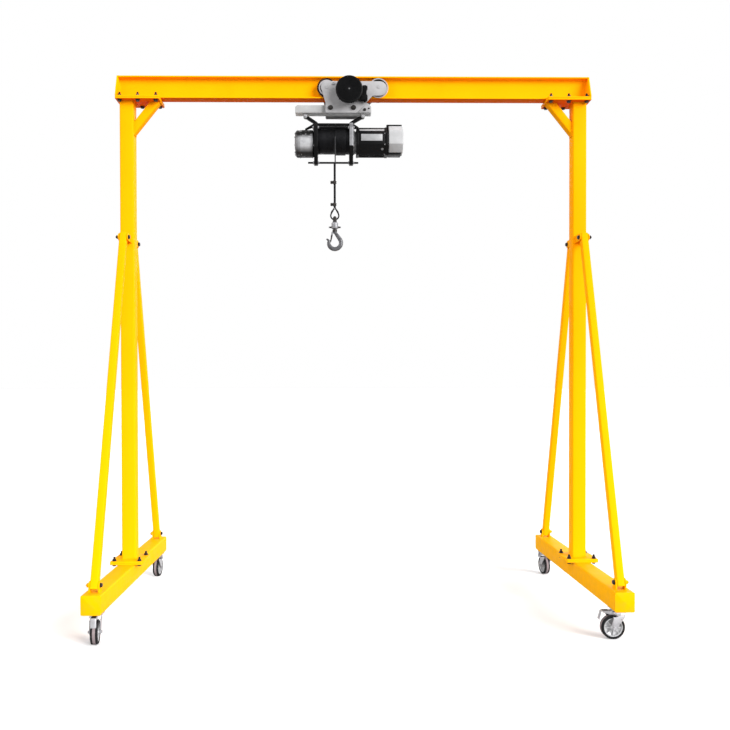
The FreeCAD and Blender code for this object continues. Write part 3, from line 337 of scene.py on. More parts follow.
class Finish:
    """A node material under construction: a painted or metal surface, read from Object coordinates."""

    def __init__(self, name, colour, roughness, metallic=0.0, **sockets):
        self.material = bpy.data.materials.new(name)
        self.material.use_nodes = True
        self.nodes = self.material.node_tree.nodes
        self.links = self.material.node_tree.links
        self.shader = self.nodes["Principled BSDF"]
        self.place = self.nodes.new("ShaderNodeTexCoord").outputs["Object"]
        self.colour = colour
        self.heights = []
        self.shader.inputs["Base Color"].default_value = (*colour, 1)
        self.shader.inputs["Roughness"].default_value = roughness
        self.shader.inputs["Metallic"].default_value = metallic
        self.shader.inputs["Specular IOR Level"].default_value = 0.06
        for key, number in sockets.items():
            self.shader.inputs[key.replace("_", " ")].default_value = number
        self.tone = None

    def noise(self, scale, detail=3.0, stretch=(1, 1, 1), distortion=0.0):
        """A cloudy pattern; scale is in cycles per metre, and stretch shortens it along an axis."""
        move = self.nodes.new("ShaderNodeMapping")
        move.inputs["Scale"].default_value = stretch
        self.links.new(self.place, move.inputs["Vector"])
        pattern = self.nodes.new("ShaderNodeTexNoise")
        pattern.inputs["Scale"].default_value = scale
        pattern.inputs["Detail"].default_value = detail
        pattern.inputs["Distortion"].default_value = distortion
        self.links.new(move.outputs["Vector"], pattern.inputs["Vector"])
        return pattern.outputs["Fac"]

    def spread(self, value, start, end, low=0.0, high=1.0):
        """Maps start..end of a pattern onto low..high."""
        span = self.nodes.new("ShaderNodeMapRange")
        for socket, number in zip(("From Min", "From Max", "To Min", "To Max"), (start, end, low, high)):
            span.inputs[socket].default_value = number
        self.links.new(value, span.inputs["Value"])
        return span.outputs["Result"]

    def along(self, axis, source=None):
        """The place along an axis, in metres, or that part of another vector."""
        split = self.nodes.new("ShaderNodeSeparateXYZ")
        self.links.new(source or self.place, split.inputs["Vector"])
        return split.outputs[axis]

    def times(self, a, b):
        product = self.nodes.new("ShaderNodeMath")
        product.operation = "MULTIPLY"
        product.use_clamp = True
        self.links.new(a, product.inputs[0])
        self.links.new(b, product.inputs[1])
        return product.outputs[0]

    def tint(self, value, colour):
        """Mixes another colour over the surface where value is high."""
        mix = self.nodes.new("ShaderNodeMix")
        mix.data_type = "RGBA"
        if self.tone is None:
            mix.inputs["A"].default_value = (*self.colour, 1)
        else:
            self.links.new(self.tone, mix.inputs["A"])
        mix.inputs["B"].default_value = (*colour, 1)
        self.links.new(value, mix.inputs["Factor"])
        self.tone = mix.outputs["Result"]
        self.links.new(self.tone, self.shader.inputs["Base Color"])
        return self

    def gloss(self, value, low, high):
        """Roughness that runs from low to high over a pattern."""
        self.links.new(self.spread(value, 0.3, 0.7, low, high), self.shader.inputs["Roughness"])
        return self

    def relief(self, value, depth, strength=1.0):
        """Bumps the surface by a pattern, depth in metres."""
        bump = self.nodes.new("ShaderNodeBump")
        bump.inputs["Distance"].default_value = depth
        bump.inputs["Strength"].default_value = strength
        self.links.new(value, bump.inputs["Height"])
        if self.heights:
            self.links.new(self.heights[-1], bump.inputs["Normal"])
        self.heights.append(bump.outputs["Normal"])
        self.links.new(bump.outputs["Normal"], self.shader.inputs["Normal"])
        return self


def darker(colour, share):
    return tuple(channel * (1 - share) for channel in colour)


def make_yellow_enamel():
    """Sprayed enamel: orange peel, soft changes of tone, painted light that lightens it towards the floor,
    painted shade that reddens the undersides, and dust at the feet.
    """
    yellow = (0.93, 0.345, 0.0012)
    enamel = Finish("yellow_enamel", yellow, 0.4, Specular_IOR_Level=0.006)
    clouds = enamel.noise(2.2, 4)
    enamel.tint(enamel.spread(clouds, 0.35, 0.7), (0.95, 0.375, 0.0014))
    enamel.tint(enamel.spread(enamel.noise(9, 5, (1, 1, 0.25)), 0.58, 0.8, 0, 0.3), (0.88, 0.305, 0.001))
    # Painted light: the enamel grows lighter and more lemon towards the floor, as if lit from below by the
    # floor.
    enamel.tint(enamel.spread(enamel.along("Z"), 2.6, 0.4, 0, 0.85), (0.95, 0.44, 0.0012))
    # Painted shade: faces turned down below 3.8 m, such as the bottom flange and the plates' undersides, take
    # a dark red-orange.
    facing_down = enamel.along("Z", enamel.nodes.new("ShaderNodeNewGeometry").outputs["Normal"])
    below = enamel.spread(facing_down, -0.8, -0.95)
    enamel.tint(enamel.times(below, enamel.spread(enamel.along("Z"), 3.80, 3.76)), (0.86, 0.14, 0.0012))
    foot = enamel.spread(enamel.along("Z"), 0.42, 0.17, 0, 0.22)
    enamel.tint(enamel.times(foot, enamel.spread(enamel.noise(26, 6), 0.45, 0.75)), (0.36, 0.20, 0.06))
    enamel.gloss(enamel.noise(14, 3), 0.34, 0.48)
    return enamel.relief(enamel.noise(420, 2), 0.0001, 0.35).relief(enamel.noise(6, 2), 0.0012,
                                                                    0.12).material


def make_metal(name, colour, roughness, grain=900, depth=0.00008, metallic=1.0, dull=0.25, cloud=30):
    """A plated or bare metal: cloudy tarnish, a fine grain and uneven gloss."""
    metal = Finish(name, colour, roughness, metallic)
    metal.tint(metal.spread(metal.noise(cloud, 5), 0.45, 0.75), darker(colour, dull))
    metal.gloss(metal.noise(cloud * 2, 4), roughness * 0.75, roughness * 1.35)
    return metal.relief(metal.noise(grain, 3), depth, 0.5).material


def make_paint(name, colour, roughness, worn=None):
    """Machine enamel: faint cloudiness, light scuffs and a fine orange peel."""
    enamel = Finish(name, colour, roughness)
    enamel.tint(enamel.spread(enamel.noise(20, 4), 0.4, 0.75), darker(colour, -0.18))
    scuffs = enamel.spread(enamel.noise(120, 6, (1, 1, 0.2), 0.6), 0.66, 0.8, 0, 0.35)
    enamel.tint(scuffs, worn or darker(colour, -0.3))
    enamel.gloss(enamel.noise(34, 3), roughness * 0.8, roughness * 1.25)
    return enamel.relief(enamel.noise(700, 2), 0.00008, 0.5).material


def make_cast(name, colour, roughness, metallic):
    """Sand cast metal with a coarse skin."""
    cast = Finish(name, colour, roughness, metallic)
    cast.tint(cast.spread(cast.noise(60, 5), 0.4, 0.7), darker(colour, 0.3))
    cast.gloss(cast.noise(120, 3), roughness * 0.85, roughness * 1.2)
    return cast.relief(cast.noise(1300, 4), 0.0003, 0.6).relief(cast.noise(240, 3), 0.0004, 0.35).material


def make_hoist_cast():
    """The gearbox's casting, darker towards both ends, mottled dark over its top, and blackened at its foot
    with painted shade.
    """
    cast = Finish("casting_with_painted_shade", (0.40, 0.40, 0.41), 0.40, 0.35)
    cast.tint(cast.spread(cast.noise(50, 5), 0.4, 0.7), (0.31, 0.31, 0.32))
    cast.tint(cast.spread(cast.along("X"), -0.385, -0.412, 0, 0.75), (0.11, 0.11, 0.115))
    cast.tint(cast.spread(cast.along("X"), -0.325, -0.295, 0, 0.85), (0.09, 0.09, 0.095))
    top = cast.spread(cast.along("Z"), 3.39, 3.42)
    # Painted shade: the blackening at the foot stands in for the dark reflection under the casting.
    foot = cast.spread(cast.along("Z"), 3.34, 3.30)
    cast.tint(cast.times(top, cast.spread(cast.noise(70, 6, (0.4, 1, 1)), 0.30, 0.48)),
              (0.012, 0.012, 0.012))
    cast.tint(cast.times(foot, cast.spread(cast.noise(40, 5), 0.25, 0.4)), (0.02, 0.02, 0.02))
    cast.gloss(cast.noise(120, 3), 0.34, 0.5)
    return cast.relief(cast.noise(1300, 4), 0.0003, 0.6).relief(cast.noise(240, 3), 0.0004, 0.35).material


def make_rubber(name, colour, dust):
    """Moulded tyre rubber, greyed by dust."""
    rubber = Finish(name, colour, 0.62)
    rubber.tint(rubber.spread(rubber.noise(45, 6), 0.5, 0.8, 0, 0.35), dust)
    rubber.gloss(rubber.noise(90, 3), 0.5, 0.75)
    return rubber.relief(rubber.noise(1500, 3), 0.00012, 0.6).material


def make_wire(name, colour, roughness):
    """Drawn steel wire under old grease."""
    wire = Finish(name, colour, roughness, 0.85)
    wire.tint(wire.spread(wire.noise(160, 4), 0.45, 0.7), darker(colour, 0.6))
    wire.gloss(wire.noise(220, 3), roughness * 0.8, roughness * 1.4)
    return wire.relief(wire.noise(2500, 2, (1, 1, 0.3)), 0.0001, 0.6).material


YELLOW = make_yellow_enamel()
ZINC = make_metal("bright_zinc", (0.38, 0.375, 0.39), 0.34, grain=1100, metallic=0.5, dull=0.22)
ALUMINIUM = make_cast("cast_aluminium", (0.52, 0.52, 0.53), 0.38, 0.45)
STEEL = make_metal("forged_steel", (0.36, 0.36, 0.37), 0.38, grain=500, depth=0.0002, dull=0.45)
DARK_STEEL = make_metal("black_oxide", (0.035, 0.032, 0.03), 0.42, grain=800, metallic=0.6, dull=0.4)
GREY_PAINT = make_paint("grey_enamel", (0.30, 0.295, 0.30), 0.42)
GREY_CAST = make_cast("grey_casting", (0.16, 0.16, 0.165), 0.42, 0.2)
MACHINED = make_metal("machined_steel", (0.42, 0.40, 0.41), 0.34, grain=700, metallic=0.7, dull=0.2,
                      cloud=50)
HOIST_CAST = make_hoist_cast()
HOOK_STEEL = make_metal("hook_steel", (0.10, 0.10, 0.105), 0.36, grain=500, depth=0.0002, metallic=0.5,
                        dull=0.5)
BLOCK_STEEL = make_metal("block_steel", (0.23, 0.23, 0.24), 0.36, grain=800, metallic=0.4, dull=0.25)
PLATE_METAL = make_metal("plate_metal", (0.29, 0.29, 0.295), 0.38, grain=600, metallic=0.35, dull=0.2)
COVER_PAINT = make_paint("cover_enamel", (0.37, 0.37, 0.375), 0.40, worn=(0.32, 0.32, 0.32))
# Painted light: a grey about twice as light as the bar's paint, given to the bar's undersides to lift their
# shade.
PALE_LIT_UNDERSIDE = make_paint("pale_grey_painted_light", (0.62, 0.62, 0.62), 0.45)
PALE_PAINT = make_paint("pale_grey_enamel", (0.33, 0.33, 0.33), 0.40, worn=(0.25, 0.25, 0.25))
BLACK_PAINT = make_paint("black_enamel", (0.0035, 0.0035, 0.0038), 0.34, worn=(0.012, 0.012, 0.012))
BLACK_CAST = make_cast("black_casting", (0.0035, 0.0035, 0.0038), 0.45, 0.0)
RUBBER = make_rubber("tyre_rubber", (0.010, 0.010, 0.011), (0.09, 0.085, 0.08))
# Painted sheen: a light rubber for the tread's middle band, partly dust worn into it and partly a painted
# highlight.
TREAD_WEAR_AND_SHEEN = make_rubber("worn_tread_with_painted_sheen", (0.24, 0.195, 0.20), (0.36, 0.31, 0.31))
ROPE_WIRE = make_wire("rope_wire", (0.035, 0.035, 0.037), 0.42)
ROPE_DARK = make_wire("rope_wire_greased", (0.011, 0.011, 0.012), 0.5)


# ------------------------------------------------------------------ the frame: beam, legs and braces

LEGS = {"left": 1, "right": -1}  # the way along X towards the middle of the crane
ENDS = {"front": -1, "rear": 1}
TUBE_CORNER = 9 * MM
KNEE_RUN, KNEE_DROP = 152 * MM, 190 * MM


def square_tube(name, corner_a, corner_b, axis, corner=TUBE_CORNER):
    """A square tube between two corners, with rolled corners along its length."""
    piece = block(name, corner_a, corner_b)
    pick(piece, "EDGE", lambda place, direction: abs(direction.dot(axis)) > 0.99)
    bpy.ops.mesh.bevel(offset=corner, segments=4, affect="EDGES")
    leave()
    return smooth(piece)


def weld(name, points, radius=4.5 * MM, closed=False):
    """A rippled weld bead along straight runs between points."""
    step, path = 2.2 * MM, []
    runs = list(zip(points, points[1:] + points[:1])) if closed else list(zip(points, points[1:]))
    for start, end in runs:
        start, end = Vector(start), Vector(end)
        count = max(2, round((end - start).length / step))
        for index in range(count):
            path.append(start.lerp(end, index / count))
    if not closed:
        path.append(Vector(points[-1]))
    rippled = [(*place, 0.9 + 0.16 * math.sin(index * math.tau / 3.0)) for index, place in enumerate(path)]
    return swept(name, rippled, radius, sides=8, closed=closed)


def square_loop(centre, half_x, half_y, corner=TUBE_CORNER):
    """The corners of a tube's outline at a height, for its weld."""
    x, y, z = centre
    return [(x + sx * (half_x - cx), y + sy * (half_y - cy), z)
            for sx, sy, cx, cy in ((1, 1, corner / 2, 0), (1, 1, 0, corner / 2), (1, -1, 0, corner / 2),
                                   (1, -1, corner / 2, 0), (-1, -1, corner / 2, 0), (-1, -1, 0, corner / 2),
                                   (-1, 1, 0, corner / 2), (-1, 1, corner / 2, 0))]


def make_beam():
    """The rolled I-section: thick flanges, a web and a fillet where they meet."""
    a, b = low("main_beam"), high("main_beam")
    half, flange, web, root = (b.y - a.y) / 2, 10 * MM, 3 * MM, 9 * MM
    rear = [(half, a.z, MM), (half, a.z + flange, 3 * MM), (web, a.z + flange, root),
            (web, b.z - flange, root), (half, b.z - flange, 3 * MM), (half, b.z, MM)]
    lower = rounded_outline(rear + [(-y, z, radius) for y, z, radius in reversed(rear)])
    beam = cut_out("main_beam_finished", lower, "YZ", a.x, b.x)
    finish(beam, YELLOW, "frame", "yellow_paint", "main_beam")
    beads = []
    for side in LEGS:
        end = a.x if side == "left" else b.x
        inward = LEGS[side]
        for y_side in (-1, 1):
            beads.append(weld("beam_weld", [(end + inward * MM, y_side * web, a.z + flange + 4 * MM),
                                            (end + inward * MM, y_side * web, b.z - flange - 4 * MM)]))
            beads.append(weld("beam_weld",
                              [(end, y_side * half, a.z), (end + inward * 302 * MM, y_side * half, a.z)]))
        beads.append(weld("beam_weld", [(end + inward * MM, -half, b.z - MM),
                                        (end + inward * MM, half, b.z - MM)], 3 * MM))
    finish(joined("beam_welds", beads), YELLOW, "frame", "yellow_paint")


def make_end_plates():
    a, b = low("beam_end_plates"), high("beam_end_plates")
    narrow = (high("main_beam").y - low("main_beam").y) / 2
    outline = rounded_outline([(a.y, a.z, 4 * MM), (b.y, a.z, 4 * MM), (narrow, b.z, 3 * MM),
                               (-narrow, b.z, 3 * MM)])
    plates = []
    for start, end in ((a.x, low("main_beam").x), (high("main_beam").x, b.x)):
        plates.append(cut_out("end_plate", outline, "YZ", start, end, 1.2 * MM))
    finish(joined("beam_end_plates_finished", plates), YELLOW, "frame", "yellow_paint", "beam_end_plates")


def side_boxes(node, width):
    """The two boxes of a node that has the same piece at both ends of X."""
    a, b = low(node), high(node)
    return [(a, Vector((a.x + width, b.y, b.z))), (Vector((b.x - width, a.y, a.z)), b)]


def make_plates():
    """Bolted plates of the head and the foot, each with its edges broken."""
    for node, width in (("beam_seat_plates", 0.316), ("column_head_plates", 0.316),
                        ("column_foot_plates", 0.230), ("base_seat_plates", 0.230)):
        plates = []
        for a, b in side_boxes(node, width):
            outline = rounded_outline([(a.x, a.y, 6 * MM), (b.x, a.y, 6 * MM), (b.x, b.y, 6 * MM),
                                       (a.x, b.y, 6 * MM)])
            plates.append(cut_out(node, outline, "XY", a.z, b.z - 0.4 * MM, 1.2 * MM))
        finish(joined(node + "_finished", plates), YELLOW, "frame", "yellow_paint", node)


def make_columns():
    for side, inward in LEGS.items():
        a, b = low(f"{side}_column"), high(f"{side}_column")
        column = square_tube(f"{side}_column_finished", a, b, Z)
        finish(column, YELLOW, "frame", "yellow_paint", f"{side}_column")
        centre, half = (a + b) / 2, (b.x - a.x) / 2
        beads = [weld("bead", square_loop((centre.x, centre.y, z), half + MM, half + MM), closed=True)
                 for z in (a.z + 2 * MM, b.z - 2 * MM)]
        a, b = low(f"{side}_knee_brace"), high(f"{side}_knee_brace")
        beads += make_knee(side, inward, a, b)
        finish(joined(f"{side}_column_welds", beads), YELLOW, "frame", "yellow_paint")


def make_knee(side, inward, a, b):
    """The square knee brace, cut to the column's face and to the plate; returns its welds."""
    face = b.x if inward < 0 else a.x
    far = a.x if inward < 0 else b.x
    size = b.y - a.y
    cut_z = size * math.hypot(KNEE_RUN, KNEE_DROP) / KNEE_RUN
    cut_x = size * math.hypot(KNEE_RUN, KNEE_DROP) / KNEE_DROP
    outline = [(face, a.z), (face, a.z + cut_z), (far - inward * cut_x, b.z), (far, b.z)]
    if inward > 0:
        outline.reverse()
    knee = cut_out(f"{side}_knee_brace_finished", outline, "XZ", a.y, b.y)
    pick(knee, "EDGE", lambda place, direction: min(abs(direction.x), abs(direction.z)) > 0.3)
    bpy.ops.mesh.bevel(offset=7 * MM, segments=3, affect="EDGES")
    leave()
    smooth(knee)
    finish(knee, YELLOW, "frame", "yellow_paint", f"{side}_knee_brace")
    half = size / 2 - 3 * MM
    foot, crown, near = face + inward * 2 * MM, b.z - 2 * MM, far - inward * cut_x
    foot_loop = [(foot, -half, a.z), (foot, -half, a.z + cut_z), (foot, half, a.z + cut_z),
                 (foot, half, a.z)]
    head_loop = [(near, -half, crown), (far, -half, crown), (far, half, crown), (near, half, crown)]
    return [weld("bead", foot_loop, closed=True), weld("bead", head_loop, closed=True)]


def make_bases():
    caps = []
    for side in LEGS:
        a, b = low(f"{side}_base_beam"), high(f"{side}_base_beam")
        beam = square_tube(f"{side}_base_beam_finished", a, b, Y, 11 * MM)
        finish(beam, YELLOW, "frame", "yellow_paint", f"{side}_base_beam")
        cap_low, cap_high = low("base_end_caps"), high("base_end_caps")
        outline = rounded_outline([(a.x, a.z, 10 * MM), (b.x, a.z, 10 * MM), (b.x, b.z, 10 * MM),
                                   (a.x, b.z, 10 * MM)])
        for start, end in ((cap_low.y, a.y), (b.y, cap_high.y)):
            caps.append(cut_out("cap", outline, "XZ", start, end, 1.2 * MM))
        seat_low, seat_high = low("base_seat_plates"), high("base_seat_plates")
        for x in (a.x, b.x):
            run = [(x, y, b.z - MM) for y in (seat_low.y + 10 * MM, seat_high.y - 10 * MM)]
            caps.append(weld("seat_bead", run))
    finish(joined("base_end_caps_finished", caps), YELLOW, "frame", "yellow_paint", "base_end_caps")


def pin_places():
    """Where the brace bolts are: (side, end, level, place), read from the bolts' own node."""
    a, b = low("brace_pins"), high("brace_pins")
    ring = 13 * MM
    top_y, foot_y = high("brace_top_lugs").y, high("brace_foot_lugs").y
    places = []
    for side in LEGS:
        x = middle(f"{side}_column").x
        for end, sign in ENDS.items():
            places.append((side, end, "top", Vector((x, sign * (top_y - 27 * MM), b.z - ring))))
            places.append((side, end, "foot", Vector((x, sign * (foot_y - 27 * MM), a.z + ring))))
    return places


def make_braces():
    """The raking square tubes with open ends, and the ears that hold them."""
    places = {(side, end, level): place for side, end, level, place in pin_places()}
    top_ears, foot_ears, beads = [], [], []
    size, wall = 50 * MM, 4 * MM
    for side in LEGS:
        for end, sign in ENDS.items():
            foot, top = places[side, end, "foot"], places[side, end, "top"]
            length = (top - foot).length + 50 * MM
            tube = square_tube("brace", (-size / 2, -size / 2, 0), (size / 2, size / 2, length), Z, 7 * MM)
            pick(tube, "FACE", lambda place, normal: abs(normal.z) > 0.99)
            bpy.ops.mesh.inset(thickness=wall)
            bpy.ops.mesh.extrude_region_shrink_fatten(TRANSFORM_OT_shrink_fatten={"value": -70 * MM})
            leave()
            lean = math.atan2(-(top.y - foot.y), top.z - foot.z)
            tube.data.transform(Matrix.Translation(foot) @ Matrix.Rotation(lean, 4, "X")
                                @ Matrix.Translation((0, 0, -25 * MM)))
            tube.name = f"{side}_{end}_brace_finished"
            smooth(tube)
            finish(tube, YELLOW, "frame", "yellow_paint", f"{side}_{end}_brace")
            for hand in (-1, 1):
                inner, outer = top.x + hand * 26 * MM, top.x + hand * 34 * MM
                column_face = sign * (high(f"{side}_column").y)
                outline = [(column_face, top.z - 27 * MM)] + \
                    arc(top.y, top.z, 27 * MM, -90, 90 if sign > 0 else -270,
                        10) + [(column_face, top.z + 27 * MM)]
                top_ears.append(cut_out("ear", outline, "YZ", inner, outer, 1.2 * MM))
                beads.append(weld("bead", [(outer, column_face, top.z - 27 * MM),
                                           (outer, column_face, top.z + 27 * MM)]))
                base_top = high(f"{side}_base_beam").z
                outline = [(foot.y + 27 * MM, base_top)] + arc(foot.y, foot.z, 27 * MM, 0, 180, 10) \
                    + [(foot.y - 27 * MM, base_top)]
                foot_ears.append(cut_out("ear", outline, "YZ", inner, outer, 1.2 * MM))
                beads.append(weld("bead", [(outer, foot.y - 27 * MM, base_top),
                                           (outer, foot.y + 27 * MM, base_top)]))
    finish(joined("brace_top_lugs_finished", top_ears), YELLOW, "frame", "yellow_paint", "brace_top_lugs")
    finish(joined("brace_foot_lugs_finished", foot_ears), YELLOW, "frame", "yellow_paint", "brace_foot_lugs")
    finish(joined("brace_lug_welds", beads), YELLOW, "frame", "yellow_paint")


# ------------------------------------------------------------------ bolts

def hexagon(name, radius, start, end):
    """A hexagon bar along Z with its corners turned off at both ends."""
    piece = cylinder(name, (0, 0, start), (0, 0, end), radius, sides=6)
    return round_edges(piece, radius * 0.09, 2)


def thread(name, radius, start, end, pitch):
    """A threaded stub along Z, with a small lead at its end."""
    count = max(2, int((end - start) / pitch))
    profile = [(start, 0), (start, radius)]
    for index in range(count):
        base = start + (end - start - pitch) * index / count
        profile += [(base + pitch * 0.3, radius), (base + pitch * 0.7, radius * 0.86)]
    profile += [(end - pitch * 0.6, radius * 0.9), (end, radius * 0.72), (end, 0)]
    return turned(name, (0, 0, 0), Z, profile, 20)


def washer(name, radius, bore, start, thickness):
    edge = thickness * 0.3
    return turned(name, (0, 0, 0), Z, [(start, bore), (start, radius - edge), (start + edge, radius),
                                       (start + thickness - edge, radius),
                                       (start + thickness, radius - edge),
                                       (start + thickness, bore)], 28)


def bolt_head(radius, seat=0.0):
    """A washer and a hexagon head standing on Z = seat; radius is the shank's."""
    plate = 0.3 * radius
    head = hexagon("head", radius * 1.75, seat + plate, seat + plate + radius * 1.3)
    pick(head, "FACE", lambda place, normal: normal.z > 0.99 and place.z > seat + plate)
    bpy.ops.mesh.inset(thickness=radius * 0.25)
    bpy.ops.transform.translate(value=(0, 0, -radius * 0.06))
    leave()
    return joined("bolt_head", [washer("washer", radius * 2.15, radius * 1.02, seat, plate), head])


def nut_end(radius, stick, seat=0.0):
    """A washer, a nut and the bolt's threaded end standing on Z = seat."""
    plate = 0.3 * radius
    top = seat + plate + radius * 1.55
    return joined("nut", [washer("washer", radius * 2.15, radius * 1.02, seat, plate),
                          hexagon("nut", radius * 1.75, seat + plate, top),
                          thread("thread", radius, top - radius * 0.2, top + stick, radius * 0.3)])


def make_frame_bolts():
    """Bolts of the head plates, of the foot plates and of the braces."""
    heads, nuts = [], []
    seat_top, head_bottom = high("beam_seat_plates").z, low("column_head_plates").z
    for a, b in side_boxes("column_head_plates", 316 * MM):
        centre = (a + b) / 2
        for step in (-1, 0, 1):
            for row in (-1, 1):
                x, y = centre.x + step * 130 * MM, row * 72 * MM
                nuts.append(facing((x, y, seat_top), Z, 0.3 * step))
                heads.append(facing((x, y, head_bottom), -Z, 0.5 * row))
    foot_top = high("column_foot_plates").z
    seat_low = low("base_seat_plates").z
    for a, b in side_boxes("column_foot_plates", 230 * MM):
        centre = (a + b) / 2
        for across in (-1, 1):
            for along in (-1, 1):
                x, y = centre.x + across * 90 * MM, along * 100 * MM
                nuts.append(facing((x, y, foot_top), Z, 0.4 * across + 0.2 * along))
                heads.append(facing((x, y, seat_low), -Z, 0.7 * along))
    finish(scatter(bolt_head(8 * MM), "frame_bolt_heads", heads), DARK_STEEL, "frame", "dark_bolt")
    finish(scatter(nut_end(8 * MM, 15 * MM), "frame_bolt_nuts", nuts), DARK_STEEL, "frame", "dark_bolt")
    heads, nuts = [], {"top": [], "foot": []}
    for side, _, level, place in pin_places():
        inward = LEGS[side]
        heads.append(facing(place + X * inward * 34 * MM, X * inward, 0.4))
        nuts[level].append(facing(place - X * inward * 34 * MM, -X * inward, 0.2))
    pins = [paint(scatter(bolt_head(8 * MM), "pin_heads", heads), DARK_STEEL),
            paint(scatter(nut_end(8 * MM, 6 * MM), "top_pin_nuts", nuts["top"]), DARK_STEEL),
            paint(scatter(nut_end(8 * MM, 6 * MM), "foot_pin_nuts", nuts["foot"]), YELLOW)]
    finish(joined("brace_bolts", pins), None, "frame", "dark_bolt", "brace_pins")


make_beam()
make_end_plates()
make_plates()
make_columns()
make_bases()
make_braces()
make_frame_bolts()


# ------------------------------------------------------------------ casters

TREAD, RIM, AXLE_Z, TRAIL = 75 * MM, 60 * MM, 75 * MM, 39 * MM
FORK_TOP, FORK_FACE = 180.7 * MM, 35 * MM
PLATE_LOW, PLATE_HIGH = 189 * MM, 195 * MM


def caster_places():
    """Each caster's name, with the matrix that carries a fork pointing to +X at the origin to its place."""
    centres = {joint["name"]: Vector(joint["pos_m"]) for joint in frame["joints"]
               if "caster" in joint["name"]}
    for name in (f"{side}_{end}_caster" for side in LEGS for end in ("front", "rear")):
        swivel = centres[f"{name}_swivel"]
        ahead = swivel - centres[f"{name}_roll"]
        turn = Matrix.Rotation(math.atan2(ahead.y, ahead.x), 4, "Z")
        yield name, Matrix.Translation((swivel.x, swivel.y, 0)) @ turn


def make_mount_plate():
    """A top plate with its four bolts, the pressed ball race and the kingpin's nut."""
    half = 55 * MM
    outline = rounded_outline([(-half, -half, 9 * MM), (half, -half, 9 * MM), (half, half, 9 * MM),
                               (-half, half, 9 * MM)])
    plate = cut_out("plate", outline, "XY", PLATE_LOW, PLATE_HIGH, 0.8 * MM)
    race = turned("race", (0, 0, 0), Z, [(181 * MM, 10 * MM), (181 * MM, 30 * MM), (182 * MM, 33 * MM),
                                         (184 * MM, 33.6 * MM), (184.4 * MM, 31 * MM), (185 * MM, 31 * MM),
                                         (185.4 * MM, 34 * MM), (188 * MM, 34 * MM), (190 * MM, 37 * MM),
                                         (190 * MM, 10 * MM)])
    kingpin = joined("kingpin", [cylinder("shank", (0, 0, 169 * MM), (0, 0, 182 * MM), 8.5 * MM),
                                 hexagon("nut", 15 * MM, 165.4 * MM, 170.4 * MM)])
    bolts = scatter(bolt_head(4 * MM), "bolts",
                    [facing((x * MM, y * MM, PLATE_LOW), -Z, x) for x in (-41, 41) for y in (-41, 41)])
    for piece in (plate, race, kingpin):
        paint(piece, ZINC)
    paint(bolts, DARK_STEEL)
    return joined("mount_plate", [plate, race, kingpin, bolts])


def make_fork():
    """A fork bent from plate round the wheel, with its axle bolt and the brake's pivot."""
    thick, foot = 5 * MM, 16 * MM
    crown = block("crown", (-36 * MM, -FORK_FACE, FORK_TOP - 10 * MM), (36 * MM, FORK_FACE, FORK_TOP))
    pick(crown, "EDGE", lambda place, direction: abs(direction.x) > 0.9 and place.z > FORK_TOP - MM)
    bpy.ops.mesh.bevel(offset=6 * MM, segments=5, affect="EDGES")
    leave()
    pick(crown, "EDGE", lambda place, direction: abs(direction.z) > 0.9)
    bpy.ops.mesh.bevel(offset=7 * MM, segments=4, affect="EDGES")
    leave()
    hollow = cylinder("hollow", (0, 0, FORK_TOP - 20 * MM), (0, 0, FORK_TOP + 10 * MM), 9.2 * MM)
    apply_modifier(crown, "BOOLEAN", object=hollow, operation="DIFFERENCE", solver="EXACT")
    bpy.data.objects.remove(hollow)
    front = rounded_outline([(36 * MM, FORK_TOP - 6 * MM, 4 * MM), (27 * MM, 138 * MM, 30 * MM),
                             (-TRAIL, 70 * MM, 0)])
    rear = rounded_outline([(-TRAIL, 70 * MM, 0), (-46 * MM, 138 * MM, 40 * MM),
                            (-36 * MM, FORK_TOP - 6 * MM, 4 * MM)])
    outline = front[:-1] + arc(-TRAIL, AXLE_Z, foot, -40, -180, 12) + rear[1:]
    pieces = [smooth(crown)]
    for hand in (-1, 1):
        face = hand * FORK_FACE
        pieces.append(cut_out("cheek", outline, "XZ", face - hand * thick, face, 1.2 * MM))
        pieces.append(turned("boss", (-TRAIL, face - hand * 0.5 * MM, AXLE_Z), Y * hand,
                             [(0, 5 * MM), (0, 14 * MM), (0.9 * MM, 13.2 * MM), (0.9 * MM, 5 * MM)], 32))
        pieces.append(cylinder("rivet", (-26 * MM, face, 163 * MM),
                               (-26 * MM, face + hand * 3 * MM, 163 * MM),
                               5.5 * MM, 1.2 * MM, 20))
    pieces.append(cylinder("axle", (-TRAIL, -FORK_FACE, AXLE_Z), (-TRAIL, FORK_FACE, AXLE_Z), 5.6 * MM))
    head, nut = bolt_head(5 * MM), nut_end(5 * MM, 0.4 * MM)
    for piece in pieces + [head, nut]:
        paint(piece, ZINC)
    head.data.transform(facing((-TRAIL, -FORK_FACE, AXLE_Z), -Y))
    nut.data.transform(facing((-TRAIL, FORK_FACE, AXLE_Z), Y, 0.3))
    return joined("fork", pieces + [head, nut] + make_pedal())


